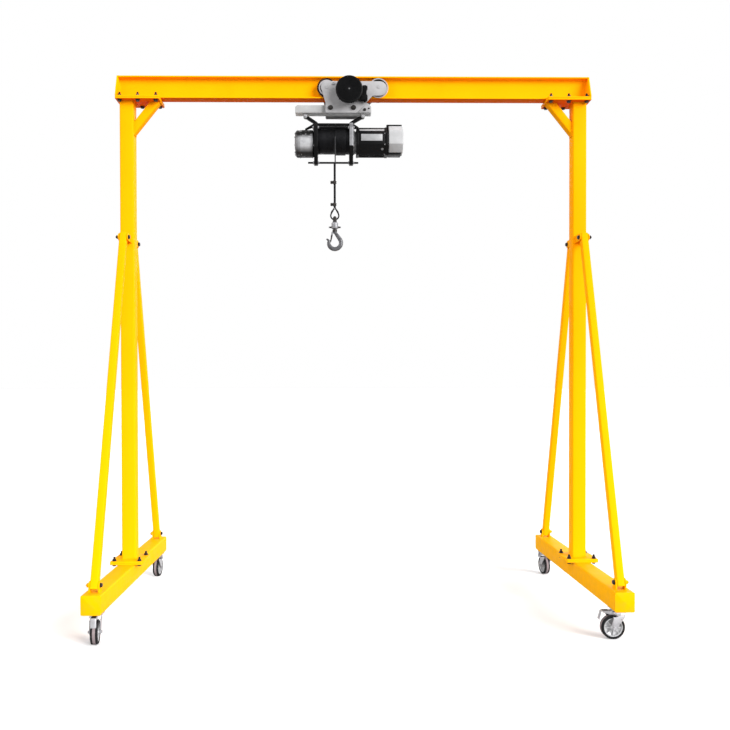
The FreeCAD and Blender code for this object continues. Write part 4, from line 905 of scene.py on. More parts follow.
def make_pedal():
    """The brake pedal: a bent strip with side ribs, grips and a black edge, and the shoe above the tyre."""
    thick, top, low_z = 4 * MM, FORK_TOP, FORK_TOP - 57 * MM
    lean = math.atan2(14, 57)
    down = Vector((-math.sin(lean), 0, -math.cos(lean)))
    corner = Vector((-116 * MM, 0, top))
    outline = rounded_outline([(-34 * MM, top - thick, 0), (-34 * MM, top, 0), (corner.x, top, 7 * MM),
                               (-130 * MM, low_z, 1.5 * MM), (-126 * MM, low_z, 1.5 * MM),
                               (-112.8 * MM, top - thick, 4 * MM)][::-1])
    pieces = [cut_out("strip", outline, "XZ", -17 * MM, 17 * MM, 0.9 * MM)]
    for hand in (-1, 1):
        rib = [(-34 * MM, top - thick), (-110 * MM, top - thick), (-104 * MM, top - thick - 8 * MM),
               (-60 * MM, top - thick - 21 * MM), (-34 * MM, top - thick - 21 * MM)]
        pieces.append(cut_out("rib", rib, "XZ", hand * 14 * MM, hand * 16.5 * MM, 0.6 * MM))
    for step in range(4):
        place = corner + down * (18 + step * 9) * MM - X * 0.3 * MM
        pieces.append(cylinder("grip", place - Y * 14 * MM, place + Y * 14 * MM, 1.2 * MM, 0.4 * MM, 12))
    shoe = cut_out("shoe", [(-84 * MM, top - thick), (-58 * MM, top - thick), (-58 * MM, 155 * MM),
                            (-68 * MM, 154 * MM), (-80 * MM, 149 * MM)], "XZ", -13 * MM, 13 * MM, 1.5 * MM)
    pad = block("pad", (-106 * MM, -14 * MM, top - 0.5 * MM), (-66 * MM, 14 * MM, top + 2.2 * MM), MM)
    for piece in pieces:
        paint(piece, ZINC)
    for piece in (shoe, pad):
        paint(piece, RUBBER)
    return pieces + [shoe, pad]


def make_tyre():
    """A plain moulded tyre with rounded shoulders and a raised ring on each wall."""
    half = 23 * MM
    profile = [(-half, RIM + 0.2 * MM), (-half, 65 * MM), (-half - 0.5 * MM, 66 * MM),
               (-half - 0.5 * MM, 67.5 * MM),
               (-half, 68.5 * MM)]
    profile += [(-half + 7 * MM - 7 * MM * math.cos(math.radians(angle)), TREAD - 7 * MM
                 + 7 * MM * math.sin(math.radians(angle))) for angle in (15, 35, 55, 75, 88)]
    profile += [(-9 * MM, TREAD), (-8.4 * MM, TREAD - 0.8 * MM), (-7.6 * MM, TREAD - 0.8 * MM),
                (-7 * MM, TREAD)]
    profile += [(-along, radius) for along, radius in reversed(profile)]
    tyre = turned("tyre", (-TRAIL, 0, AXLE_Z), Y, profile, 72)

    # The tread's middle band takes the light rubber: worn dust together with a painted highlight where it
    # faces the light.
    def tread(centre, normal):
        return abs(centre.y) < 12 * MM and math.hypot(centre.x + TRAIL, centre.z - AXLE_Z) > TREAD - 2 * MM
    return paint(tyre, RUBBER, TREAD_WEAR_AND_SHEEN, tread)


def make_hub():
    """The cast wheel centre: a rim, a thin web with eight ribs on each side, and the bearing."""
    rim, boss = 20 * MM, 28 * MM
    half = [(boss, 6.6 * MM), (boss, 9 * MM), (boss - MM, 10 * MM), (boss - MM, 14.5 * MM),
            (boss, 15.2 * MM),
            (boss - 1.5 * MM, 17 * MM), (5 * MM, 19 * MM), (4 * MM, 22 * MM), (4 * MM, 49 * MM),
            (6 * MM, 52 * MM),
            (rim - MM, 53.5 * MM), (rim, 54.5 * MM), (rim, 59 * MM), (rim - MM, RIM - 0.2 * MM)]
    wheel = turned("wheel", (0, 0, 0), Z, half + [(-along, radius) for along, radius in reversed(half)], 72)
    ribs = []
    for hand in (-1, 1):
        rib = cut_out("rib", [(15 * MM, 3 * MM), (15 * MM, 24 * MM), (30 * MM, 15 * MM), (54 * MM, 17 * MM),
                              (54 * MM, 3 * MM)], "XZ", -2.2 * MM, 2.2 * MM, 0.8 * MM)
        turns = [Matrix.Rotation(math.tau * step / 8, 4, "Z") for step in range(8)]
        if hand < 0:
            turns = [turn @ Matrix.Rotation(math.pi, 4, "X") for turn in turns]
        ribs.append(scatter(rib, "ribs", turns))
    seals = [turned("seal", (0, 0, 0), Z,
                    [(hand * (boss - 3 * MM), 9.5 * MM), (hand * (boss - 0.6 * MM), 9.5 * MM),
                      (hand * (boss - 0.6 * MM), 14.8 * MM),
                      (hand * (boss - 3 * MM), 14.8 * MM)], 32) for hand in (-1, 1)]
    for piece in [wheel] + ribs:
        paint(piece, ALUMINIUM)
    for piece in seals:
        paint(piece, RUBBER)
    hub = joined("hub", [wheel] + ribs + seals)
    hub.data.transform(facing((-TRAIL, 0, AXLE_Z), Y))
    return hub


def make_casters():
    plate, fork, tyre, hub = make_mount_plate(), make_fork(), make_tyre(), make_hub()
    plates = []
    for name, move in caster_places():
        plates.append(copy_to(plate, f"{name}_plate", move))
        finish(copy_to(fork, f"{name}_fork_finished", move), None, f"{name}_swivel", "zinc_steel",
               f"{name}_fork")
        finish(copy_to(tyre, f"{name}_tyre_finished", move), None, f"{name}_wheel", "tyre_rubber",
               f"{name}_tyre")
        finish(copy_to(hub, f"{name}_hub_finished", move), None, f"{name}_wheel", "cast_aluminium",
               f"{name}_hub")
    finish(joined("caster_mount_plates_finished", plates), None, "frame", "zinc_steel",
           "caster_mount_plates")
    for piece in (plate, fork, tyre, hub):
        bpy.data.objects.remove(piece)


make_casters()


# ------------------------------------------------------------------ trolley

PLATE_FACE = -low("trolley_front_plate").y
PLATE_THICK = 10 * MM
WHEEL_Z = middle("trolley_wheel_front_left").z
WHEEL_X = {side: middle(f"trolley_wheel_front_{side}").x for side in ("left", "right")}
BEAM_LOW = low("main_beam").z
CLAMP_X = [low("trolley_bolts").x + 15 * MM, high("trolley_bolts").x - 15 * MM]
CLAMP_Z = middle("trolley_bolts").z
DRIVE = Vector((middle("trolley_motor").x, 0, high("trolley_motor").z - 97 * MM))
BAR_LOW, BAR_HIGH = low("suspension_bar"), high("suspension_bar")


def make_side_plates():
    """Two plates with an arm to each wheel, its axle's end and the screws of the drive."""
    right, foot = WHEEL_X["right"] + 8 * MM, low("trolley_front_plate").z
    arm_z = WHEEL_Z - 10 * MM
    corners = [(-208 * MM, foot, 9 * MM), (20 * MM, foot, 14 * MM),
               (right - 52 * MM, arm_z - 52 * MM, 24 * MM)]
    corners += [(x, z, 0) for x, z in arc(right, arm_z, 52 * MM, -90, 90, 16)]
    corners += [(x, z, 0) for x, z in arc(WHEEL_X["left"], WHEEL_Z, 42 * MM, 90, 215, 12)]
    corners += [(-208 * MM, BEAM_LOW - 40 * MM, 30 * MM)]
    outline = rounded_outline(corners)
    for row, hand in (("front", -1), ("rear", 1)):
        face = hand * PLATE_FACE
        plate = cut_out("plate", outline, "XZ", face - hand * PLATE_THICK, face, 1.4 * MM)
        pieces = [plate]
        for side in ("left", "right"):
            x = WHEEL_X[side]
            pieces.append(turned("axle_end", (x, face, WHEEL_Z), Y * hand,
                                 [(-MM, 0), (-MM, 15 * MM), (0.8 * MM, 15 * MM), (1.4 * MM, 14 * MM),
                                  (1.4 * MM, 10.6 * MM), (0.4 * MM, 10 * MM), (1.8 * MM, 9.4 * MM),
                                  (2.2 * MM, 8 * MM),
                                  (2.2 * MM, 2 * MM), (0.6 * MM, 1.2 * MM), (0.6 * MM, 0)], 32))
            pieces.append(cylinder("axle", (x, hand * 15 * MM, WHEEL_Z), (x, face, WHEEL_Z), 12 * MM))
        paint_all = joined("plate", pieces)
        paint(paint_all, GREY_PAINT)
        screw = bolt_head(5 * MM)
        screw.data.transform(facing((-148 * MM, face, WHEEL_Z + 22 * MM), Y * hand))
        paint(screw, BLOCK_STEEL)
        finish(joined(f"trolley_{row}_plate_finished", [paint_all, screw]), None, "trolley", "grey_paint",
               f"trolley_{row}_plate")


def make_clamp_bolts():
    """The two clamp bolts, with a washer and nut outside each plate and a spacer inside."""
    pieces = []
    for x in CLAMP_X:
        pieces.append(cylinder("shank", (x, -PLATE_FACE, CLAMP_Z), (x, PLATE_FACE, CLAMP_Z), 8.5 * MM))
        for hand, template in ((-1, nut_end(8.5 * MM, 3 * MM)), (1, bolt_head(8.5 * MM))):
            template.data.transform(facing((x, hand * PLATE_FACE, CLAMP_Z), Y * hand, 4 * x))
            pieces.append(template)
            pieces.append(turned("spacer", (x, 0, CLAMP_Z), Y * hand,
                                 [(41 * MM, 9 * MM), (40 * MM, 12.4 * MM), (41 * MM, 13 * MM),
                                  (60.6 * MM, 13 * MM),
                                  (61.8 * MM, 12.4 * MM), (61.8 * MM, 9 * MM)], 32))
    finish(joined("trolley_clamp_bolts_finished", pieces), DARK_STEEL, "trolley", "dark_bolt",
           "trolley_bolts")


def make_trolley_wheels():
    """Flanged wheels: toothed ones on the left, which the motor drives, and plain ones on the right."""
    near, step, far, tread, flange = 15 * MM, 47 * MM, 56 * MM, 62 * MM, 71 * MM
    face = [(far - 5 * MM, 12.4 * MM), (far - MM, 13 * MM), (far - 0.4 * MM, 15 * MM),
            (far - 0.4 * MM, 25 * MM),
            (far - 1.5 * MM, 26 * MM), (far - 6 * MM, 28 * MM), (far - 6 * MM, 43 * MM),
            (far - 1.5 * MM, 46 * MM),
            (far - 0.4 * MM, 47 * MM), (far - 0.4 * MM, 57.6 * MM), (far - 0.8 * MM, 58 * MM),
            (far - 0.8 * MM, 62.6 * MM)]
    back = [(step, tread + 1.5 * MM), (step - 1.5 * MM, tread), (near + 3 * MM, tread),
            (near, tread - 3 * MM),
            (near, 22 * MM), (near + MM, 21 * MM), (near + MM, 12.4 * MM)]
    plain = face + [(far - 0.4 * MM, flange - 3 * MM), (far - 3 * MM, flange), (step + 1.5 * MM, flange),
                    (step, flange - 2 * MM)] + back
    cored = face + [(far - 0.6 * MM, tread + MM), (step + 0.6 * MM, tread + MM)] + back
    teeth, gear = 44, []
    for tooth in range(teeth):
        for share, radius in ((-0.30, 66), (-0.16, 71), (0.16, 71), (0.30, 66)):
            angle = math.tau * (tooth + share) / teeth
            gear.append((radius * MM * math.cos(angle), radius * MM * math.sin(angle)))
    for row, hand in (("front", -1), ("rear", 1)):
        for side in ("left", "right"):
            place = Vector((WHEEL_X[side], 0, WHEEL_Z))
            wheel = turned("wheel", place, Y * hand, plain if side == "right" else cored, 72)

            edge = 63 * MM if side == "right" else 57 * MM

            def rim(centre, normal, place=place, edge=edge):
                return math.hypot(centre.x - place.x,
                                  centre.z - place.z) > edge and abs(centre.y) > step - MM
            finishes = (BLACK_CAST, MACHINED) if side == "right" else (MACHINED, BLACK_CAST)
            paint(wheel, *finishes, rim)
            pieces = [wheel]
            if side == "left":
                ring = cut_out("teeth", gear, "XY", step + 0.5 * MM, far - 0.5 * MM, 0.5 * MM, 1)
                ring.data.transform(facing(place, Y * hand))
                pieces.append(paint(ring, BLACK_CAST))
            name = f"trolley_wheel_{row}_{side}"
            finish(joined(f"{name}_finished", pieces), None, name, "forged_steel", name)


def make_trolley_motor():
    """The drive: a flanged neck with ribs, and a round cowl with a ringed air intake."""
    neck = turned("neck", DRIVE, -Y,
                  [(PLATE_FACE, 20 * MM), (PLATE_FACE, 66 * MM), (PLATE_FACE + 7 * MM, 66 * MM),
                   (PLATE_FACE + 8 * MM, 65 * MM), (PLATE_FACE + 8 * MM, 54 * MM),
                   (122 * MM, 54 * MM), (122 * MM, 20 * MM)], 64)
    ribs = []
    for index in range(30):
        for share, radius in ((-0.26, 53), (-0.14, 61), (0.14, 61), (0.26, 53)):
            angle = math.tau * (index + share) / 30
            ribs.append((DRIVE.x + radius * MM * math.cos(angle), DRIVE.z + radius * MM * math.sin(angle)))
    ribbed = cut_out("ribs", ribs, "XZ", -82 * MM, -121 * MM, 0.6 * MM, 1)
    screws = [facing((DRIVE.x + 60 * MM * math.cos(angle), -PLATE_FACE - 8 * MM,
                      DRIVE.z + 60 * MM * math.sin(angle)),
                     -Y, angle) for angle in (math.tau * (step + 0.5) / 6 for step in range(6))]
    screws = scatter(bolt_head(2.6 * MM), "screws", screws)
    profile = [(118 * MM, 40 * MM), (118 * MM, 84 * MM), (124 * MM, 93 * MM), (129 * MM, 96.5 * MM),
               (146 * MM, 97 * MM), (150 * MM, 95.6 * MM), (152 * MM, 92 * MM)]
    for radius in range(84, 20, -8):
        profile += [(152 * MM, radius * MM), (149 * MM, (radius - 0.6) * MM),
                    (149 * MM, (radius - 3.4) * MM),
                    (152 * MM, (radius - 4) * MM)]
    profile += [(152 * MM, 15 * MM), (153 * MM, 14 * MM), (153 * MM, 0)]
    cowl = turned("cowl", DRIVE, -Y, profile, 96)
    clips = scatter(bolt_head(3 * MM), "clips", [
        facing((DRIVE.x + 97 * MM * math.cos(angle), -137 * MM, DRIVE.z + 97 * MM * math.sin(angle)),
               (math.cos(angle), 0, math.sin(angle)))
               for angle in (math.radians(45 + 90 * step) for step in range(4))])
    hub = cylinder("hub", (DRIVE.x, -152 * MM, DRIVE.z), (DRIVE.x, -154 * MM, DRIVE.z), 5 * MM, 0.8 * MM)
    for piece in (neck, ribbed, screws):
        paint(piece, GREY_CAST)
    for piece in (cowl, clips):
        paint(piece, BLACK_PAINT)
    paint(hub, GREY_CAST)
    finish(joined("trolley_motor_finished", [neck, ribbed, screws, cowl, clips, hub]), None, "trolley",
           "black_paint", "trolley_motor")


def make_terminal_box():
    """A stepped terminal box with its lid, screws and a short blanked gland."""
    a, b = low("trolley_terminal_box"), high("trolley_terminal_box")
    shoulder, step_x = a.z + 33 * MM, b.x - 36 * MM
    outline = rounded_outline([(a.x, a.z, 3 * MM), (b.x, a.z, 4 * MM), (b.x, a.z + 30 * MM, 3 * MM),
                               (b.x - 7 * MM, a.z + 38 * MM, 4 * MM), (b.x - 7 * MM, b.z - 30 * MM, 4 * MM),
                               (b.x, b.z - 22 * MM, 4 * MM), (b.x, b.z - 7 * MM, 4 * MM),
                               (b.x - 12 * MM, b.z, 5 * MM), (step_x, b.z, 5 * MM),
                               (step_x, shoulder, 4 * MM),
                               (a.x, shoulder, 4 * MM)], 3)
    pieces = [cut_out("case", outline, "XZ", -PLATE_FACE, a.y + 9 * MM, 1.5 * MM),
              cut_out("lid", outline, "XZ", a.y + 8 * MM, a.y, 2 * MM, 3)]
    for x, z in ((a.x + 9 * MM, a.z + 10 * MM), (b.x - 9 * MM, a.z + 10 * MM),
                 (step_x + 9 * MM, b.z - 10 * MM)):
        screw = bolt_head(2 * MM)
        screw.data.transform(facing((x, a.y, z), -Y, x * 90))
        pieces.append(screw)
    gland_x = b.x - 18 * MM
    gland = turned("gland", (gland_x, a.y + 20 * MM, a.z), -Z,
                   [(-MM, 0), (-MM, 10 * MM), (4 * MM, 10 * MM), (5 * MM, 8.5 * MM), (11 * MM, 8.5 * MM),
                    (13 * MM, 7 * MM), (13.5 * MM, 0)], 24)
    finish(joined("trolley_terminal_box_finished", pieces + [gland]), BLACK_PAINT, "trolley", "black_paint",
           "trolley_terminal_box")


def make_suspension_bar():
    """A welded box bar with a taller, doubled end and ears below for the hangers' pins."""
    a, b = BAR_LOW, BAR_HIGH
    bottom, top, step = BEAM_LOW - 103 * MM, BEAM_LOW - 48 * MM, 17 * MM
    outline = rounded_outline([(a.x, bottom, 5 * MM), (b.x, bottom, 5 * MM), (b.x, b.z - 26 * MM, 5 * MM),
                               (b.x - 26 * MM, b.z, 6 * MM), (step + 26 * MM, b.z, 8 * MM),
                               (step, top, 8 * MM),
                               (a.x + 13 * MM, top, 8 * MM), (a.x, top - 13 * MM, 6 * MM)])
    bar = cut_out("bar", outline, "XZ", a.y, b.y, 3 * MM, 3)
    hollow = block("hollow", (a.x - MM, a.y + 6 * MM, bottom + 6 * MM),
                   (b.x + MM, b.y - 6 * MM, top - 6 * MM), 2 * MM)
    apply_modifier(bar, "BOOLEAN", object=hollow, operation="DIFFERENCE", solver="EXACT")
    bpy.data.objects.remove(hollow)
    smooth(bar)
    # Painted light: the bar's bottom faces take the much lighter grey, which cancels their shade.
    paint(bar, PALE_PAINT, PALE_LIT_UNDERSIDE, lambda centre, normal: normal.z < -0.5 and centre.z < bottom + 2 * MM)
    pieces = [bar]
    for hand in (-1, 1):
        face = hand * b.y
        doubler = rounded_outline([(26 * MM, bottom + 3 * MM, 6 * MM),
                                   (b.x - 4 * MM, bottom + 3 * MM, 4 * MM),
                                   (b.x - 4 * MM, b.z - 28 * MM, 5 * MM),
                                   (b.x - 28 * MM, b.z - 4 * MM, 6 * MM),
                                   (46 * MM, b.z - 4 * MM, 8 * MM), (26 * MM, top - 18 * MM, 12 * MM)])
        pieces.append(paint(cut_out("doubler", doubler, "XZ", face, face + hand * 3 * MM, MM), GREY_PAINT))
        for x, z, radius in ((36, 20, 3.0), (78, 22, 5.0), (108, 30, 3.0)):
            head = bolt_head(radius * MM)
            head.data.transform(facing((x * MM, face + hand * 3 * MM, bottom + z * MM), Y * hand, x))
            pieces.append(paint(head, DARK_STEEL))
    pin_x = [middle_x for middle_x in (a.x + 73 * MM, 65 * MM)]
    for x in pin_x:
        for hand in (-1, 1):
            near, far = hand * 12.4 * MM, hand * 18.3 * MM
            ear = arc(x, BEAM_LOW - 118 * MM, 15 * MM, 0, -180, 12) + [(x - 17 * MM, bottom),
                                                                       (x + 17 * MM, bottom)]
            pieces.append(paint(cut_out("ear", ear, "XZ", near, far, 0.8 * MM), PALE_PAINT))
    finish(joined("suspension_bar_finished", pieces), None, "trolley", "light_grey_paint", "suspension_bar")


# ------------------------------------------------------------------ hoist

DRUM_Z = middle("rope_drum").z
DRUM_ENDS = (low("rope_drum").x, high("rope_drum").x)
LEFT_FRAME = (-292 * MM, -264 * MM)
RIGHT_FRAME = (-35 * MM, -7 * MM)
MOTOR_X = (low("hoist_motor").x, high("hoist_motor").x)
MOTOR_Z = middle("hoist_motor").z
GEARBOX_X = (low("hoist_gearbox").x, high("hoist_gearbox").x)
GEARBOX_Z = middle("hoist_gearbox").z
COVER_X = (low("hoist_fan_cover").x, high("hoist_fan_cover").x)
COVER_Z = middle("hoist_fan_cover").z


def frame_outline():
    """The end frame's outline round the drum's axis, widest beside the drum."""
    half = [(-22, -176, 12), (22, -176, 12), (106, -70, 22), (106, 70, 26), (72, 104, 18), (24, 104, 8),
            (24, 129, 5)]
    corners = [(y * MM, DRUM_Z + z * MM, r * MM) for y, z, r in half]
    corners += [(-y * MM, DRUM_Z + z * MM, r * MM) for y, z, r in reversed(half[2:])]
    return rounded_outline(corners, 5)


def make_hoist_frames():
    """Two cast end frames with ribs up to the hangers, the top bar, and a ring beside the motor."""
    pieces = []
    for start, end in (LEFT_FRAME, RIGHT_FRAME):
        pieces.append(cut_out("end_frame", frame_outline(), "YZ", start, end, 3 * MM, 3))
    left, right = pieces
    paint(left, BLACK_CAST)
    # The right frame is bright steel only above DRUM_Z - 60 mm and off its face towards the drum; the black
    # of its lower part is painted shade.
    paint(right, BLACK_CAST, BLOCK_STEEL, lambda centre, normal: centre.z > DRUM_Z - 60 * MM
          and normal.x > -0.3)
    ribs = (((LEFT_FRAME[0] + 2 * MM, 3530), (LEFT_FRAME[0] + 2 * MM, 3504), (-358 * MM, 3477.3),
             (-358 * MM, 3490.3)),
            ((RIGHT_FRAME[1] - 2 * MM, 3530), (RIGHT_FRAME[1] - 2 * MM, 3489.8), (35 * MM, 3489.8),
             (35 * MM, 3502.8)))
    for rib in ribs:
        outline = rounded_outline([(x, z * MM, 3 * MM) for x, z in rib], 3)
        pieces.append(paint(cut_out("rib", outline, "XZ", -6 * MM, 6 * MM, 1.5 * MM), BLACK_CAST))
    top = block("top_bar", (LEFT_FRAME[1] - MM, -8 * MM, 3510 * MM),
                (RIGHT_FRAME[0] + MM, 8 * MM, 3530 * MM), 2 * MM)
    pieces.append(paint(top, BLACK_PAINT))
    ring = turned("ring", (0, 0, DRUM_Z), X, [
        (RIGHT_FRAME[0] + MM, 100 * MM), (RIGHT_FRAME[0] + MM, 104 * MM),
        (RIGHT_FRAME[0] + 3 * MM, 107 * MM),
        (RIGHT_FRAME[0] + 19 * MM, 107 * MM), (RIGHT_FRAME[0] + 21 * MM, 105 * MM),
        (RIGHT_FRAME[0] + 21 * MM, 100 * MM)],
        96)
    pieces.append(paint(ring, BLOCK_STEEL))
    for x, hand in ((LEFT_FRAME[0], -X), (RIGHT_FRAME[1], X)):
        spots = [(math.radians(angle), 97 * MM) for angle in (35, 145, 215, 325)]
        heads = scatter(bolt_head(4.2 * MM), "screws", [
            facing((x, radius * math.cos(angle), DRUM_Z + radius * math.sin(angle)), hand, angle)
            for angle, radius in spots])
        pieces.append(paint(heads, ZINC))
    finish(joined("hoist_end_frames", pieces), None, "trolley", "black_cast", "hoist_frames")


def make_tie_rods():
    """Threaded rods that hold the frames apart, with a washer and nut on both sides of each frame."""
    pieces = []
    upper, lower = DRUM_Z + 71 * MM, DRUM_Z - 159 * MM
    for y, z, start, end in ((-88 * MM, upper, -326, 14), (88 * MM, upper, -326, 14), (0, lower, -337, 32)):
        start, end = start * MM, end * MM
        pieces.append(paint(cylinder("rod", (start + 24 * MM, y, z), (end - 12 * MM, y, z), 7 * MM),
                            BLACK_PAINT))
        for place, hand in ((start, -X), (end, X)):
            tip = thread("thread", 7.2 * MM, 0, 26 * MM, 1.75 * MM)
            tip.data.transform(facing(Vector((place, y, z)) - hand * 26 * MM, hand))
            pieces.append(paint(tip, BLACK_PAINT))
        for place, hand in ((LEFT_FRAME[0], -X), (LEFT_FRAME[1], X), (RIGHT_FRAME[0], -X),
                            (RIGHT_FRAME[1], X)):
            nut = joined("nut", [hexagon("nut", 10.5 * MM, 1.8 * MM, 9.5 * MM),
                                 washer("washer", 12 * MM, 6.7 * MM, 0, 1.8 * MM)])
            nut.data.transform(facing((place, y, z), hand, place * 40))
            pieces.append(paint(nut, BLOCK_STEEL))
    finish(joined("hoist_tie_rods_finished", pieces), None, "trolley", "black_cast", "hoist_tie_rods")


def coil(name, radius, start, end, wire, sides=8, lead_in=0):
    """Turns of rope wound on the drum, side by side, from start to end along X."""
    pitch = 2 * wire * 1.02
    turns = (end - start) / pitch
    steps = int(turns * 40)
    points = []
    for step in range(steps + 1):
        angle = math.tau * turns * step / steps + lead_in
        points.append((start + (end - start) * step / steps, radius * math.sin(angle),
                       DRUM_Z + radius * math.cos(angle)))
    return swept(name, points, wire, sides)


def make_drum():
    """The drum between its flanges, wound with a full layer of rope and part of a second one."""
    start, end = DRUM_ENDS
    core = turned("core", (0, 0, DRUM_Z), X, [
        (start, 20 * MM), (start, 103 * MM), (start + MM, 104 * MM), (start + 5 * MM, 104 * MM),
        (start + 6 * MM, 103 * MM), (start + 6 * MM, 88.4 * MM), (end - 6 * MM, 88.4 * MM),
        (end - 6 * MM, 103 * MM),
        (end - 5 * MM, 104 * MM), (end - MM, 104 * MM), (end, 103 * MM), (end, 20 * MM)], 96)
    shaft = cylinder("shaft", (LEFT_FRAME[0] + 6 * MM, 0, DRUM_Z), (RIGHT_FRAME[1] - 6 * MM, 0, DRUM_Z),
                     19.8 * MM)
    paint(core, BLACK_CAST)
    paint(shaft, STEEL)
    first = coil("first_layer", 92 * MM, start + 10.2 * MM, end - 10.2 * MM, 4 * MM)
    second = coil("second_layer", 99 * MM, -136 * MM, -60 * MM, 4 * MM, 8, -math.pi / 2)
    for piece in (first, second):
        paint(piece, ROPE_DARK)
    finish(joined("rope_drum_wound", [core, shaft, first, second]), None, "drum", "black_cast", "rope_drum")


def make_gearbox():
    """The gearbox: a cast drum with chamfered ends, a bolted cover and cooling ribs over its top."""
    start, end = GEARBOX_X
    middle_x = start + 34 * MM
    body = turned("gearbox", (0, 0, GEARBOX_Z), X, [
        (start, 0), (start, 84 * MM), (start + 2 * MM, 87 * MM), (start + 11 * MM, 96 * MM),
        (start + 13 * MM, 97 * MM),
        (middle_x - 2 * MM, 97 * MM), (middle_x - MM, 98 * MM), (middle_x - 0.6 * MM, 99 * MM),
        (middle_x + 5 * MM, 99 * MM), (middle_x + 5.6 * MM, 98 * MM), (middle_x + 6.2 * MM, 96.4 * MM),
        (end - 14 * MM, 96.4 * MM), (end - 13 * MM, 98 * MM), (end - 12 * MM, 99 * MM),
        (end - 10 * MM, 98.6 * MM),
        (end - 0.6 * MM, 88 * MM), (end, 86 * MM), (end, 0)], 96)
    paint(body, HOIST_CAST)
    pieces = [body]
    for index in range(13):
        angle = math.radians(-60 + 10 * index)
        rib = block("rib", (middle_x + 10 * MM, -1.4 * MM, 94 * MM), (end - 16 * MM, 1.4 * MM, 98.6 * MM),
                    0.8 * MM)
        rib.data.transform(Matrix.Translation((0, 0, GEARBOX_Z)) @ Matrix.Rotation(-angle, 4, "X"))
        pieces.append(paint(rib, HOIST_CAST))
    ring = []
    for index in range(8):
        angle = math.tau * (index + 0.5) / 8
        ring.append(facing((start, 74 * MM * math.cos(angle), GEARBOX_Z + 74 * MM * math.sin(angle)), -X,
                           angle))
    pieces.append(paint(scatter(bolt_head(4 * MM), "screws", ring), ZINC))
    boss = turned("boss", (0, 0, GEARBOX_Z), -X,
                  [(-start - MM, 0), (-start - MM, 40 * MM), (-start + 3 * MM, 40 * MM),
                  (-start + 5 * MM, 38 * MM), (-start + 5 * MM, 0)], 48)
    pieces.append(paint(boss, HOIST_CAST))
    finish(joined("hoist_gearbox_finished", pieces), None, "trolley", "cast_aluminium", "hoist_gearbox")


def octagon(half, corner, grow=0.0, rounding=10):
    """An octagon round the motor's axis, as (y, z) from it."""
    a, b = half + grow, half - corner + grow * 0.4
    points = [(a, -b), (a, b), (b, a), (-b, a), (-a, b), (-a, -b), (-b, -a), (b, -a)]
    return [(y * MM, z * MM, rounding * MM) for y, z in points]


def eight_sided(half, corner, axis_z, grow=0.0, rounding=10):
    return rounded_outline([(y, z + axis_z, r) for y, z, r in octagon(half, corner, grow, rounding)])


def make_adapter():
    """The stepped round adapter between the frame and the motor."""
    start, end = low("hoist_motor_flange").x, high("hoist_motor_flange").x
    piece = turned("hoist_motor_flange_finished", (0, 0, MOTOR_Z), X, [
        (start, 0), (start, 84 * MM), (start + 1.5 * MM, 86 * MM), (start + 10 * MM, 86 * MM),
        (start + 11 * MM, 85 * MM),
        (start + 11.5 * MM, 79 * MM), (end, 79 * MM), (end, 0)], 64)
    finish(piece, GREY_CAST, "trolley", "cast_aluminium", "hoist_motor_flange")


def make_hoist_motor():
    """The motor: an eight-sided ribbed housing, its shields, a blank plate, a cap and the cover's screws."""
    start, end = MOTOR_X
    pieces = []
    for a, b, grow in ((start, start + 16 * MM, 0), (end - 20 * MM, end, 0),
                       (start + 14 * MM, end - 18 * MM, -3)):
        piece = cut_out("housing", eight_sided(100.5, 58.8, MOTOR_Z, grow, 8), "YZ", a, b, 2 * MM, 2)
        pieces.append(paint(piece, BLACK_PAINT))
    for side in (0, 2, 3):
        for index in range(5):
            shift = (index - 2) * 15 * MM
            fin = block("fin", (start + 20 * MM, shift - 1.5 * MM, 92 * MM),
                        (end - 24 * MM, shift + 1.5 * MM, 100.4 * MM),
                        MM)
            fin.data.transform(Matrix.Translation((0, 0, MOTOR_Z)) @ Matrix.Rotation(side * math.pi / 2, 4,
                                                                                     "X"))
            pieces.append(paint(fin, BLACK_PAINT))
    face = -100.5 * MM
    pad = block("pad", (start + 20 * MM, face + 6 * MM, MOTOR_Z - 39 * MM),
                (end - 24 * MM, face + 0.2 * MM, MOTOR_Z + 39 * MM),
                1.5 * MM)
    plate = block("plate", (start + 35 * MM, face + 0.8 * MM, MOTOR_Z - 15 * MM),
                  (start + 188 * MM, face - 0.8 * MM, MOTOR_Z + 33 * MM), 0.5 * MM)
    pieces += [paint(pad, BLACK_PAINT), paint(plate, PLATE_METAL)]
    rivets = [facing((start + x * MM, face - 0.8 * MM, MOTOR_Z + z * MM), -Y) for x in (40, 183)
              for z in (-10, 28)]
    pieces.append(paint(scatter(turned("rivet", (0, 0, 0), Z,
                                       [(-0.2 * MM, 0), (-0.2 * MM, 2.4 * MM), (0.5 * MM, 2 * MM),
                                       (0.9 * MM, MM), (MM, 0)], 16), "rivets", rivets), ZINC))
    # Painted reflection: this grey strip on the top-front chamfer stands in for the sky mirrored in the black
    # paint.
    strip = block("strip", (start + 24 * MM, -11 * MM, -2 * MM), (end - 26 * MM, 11 * MM, 0.8 * MM),
                  0.8 * MM)
    strip.data.transform(Matrix.Translation((0, -71 * MM, MOTOR_Z + 71 * MM)) @ Matrix.Rotation(math.pi / 4,
                                                                                                4, "X"))
    pieces.append(paint(strip, GREY_PAINT))
    cap = turned("cap", (end - 41 * MM, -71 * MM, MOTOR_Z - 66 * MM), (0, -1, -0.75), [
        (-6 * MM, 0), (-6 * MM, 9 * MM), (4 * MM, 9 * MM), (5 * MM, 8 * MM), (5 * MM, 0)], 24)
    pieces.append(paint(cap, GREY_CAST))
    heads = []
    for index in range(8):
        angle = math.tau * (index + 0.5) / 8
        heads.append(facing((end - 20 * MM, 99.5 * MM * math.cos(angle),
                             MOTOR_Z + 99.5 * MM * math.sin(angle)), -X, angle))
    pieces.append(paint(scatter(bolt_head(3.6 * MM), "screws", heads), ZINC))
    finish(joined("hoist_motor_finished", pieces), None, "trolley", "black_paint", "hoist_motor")


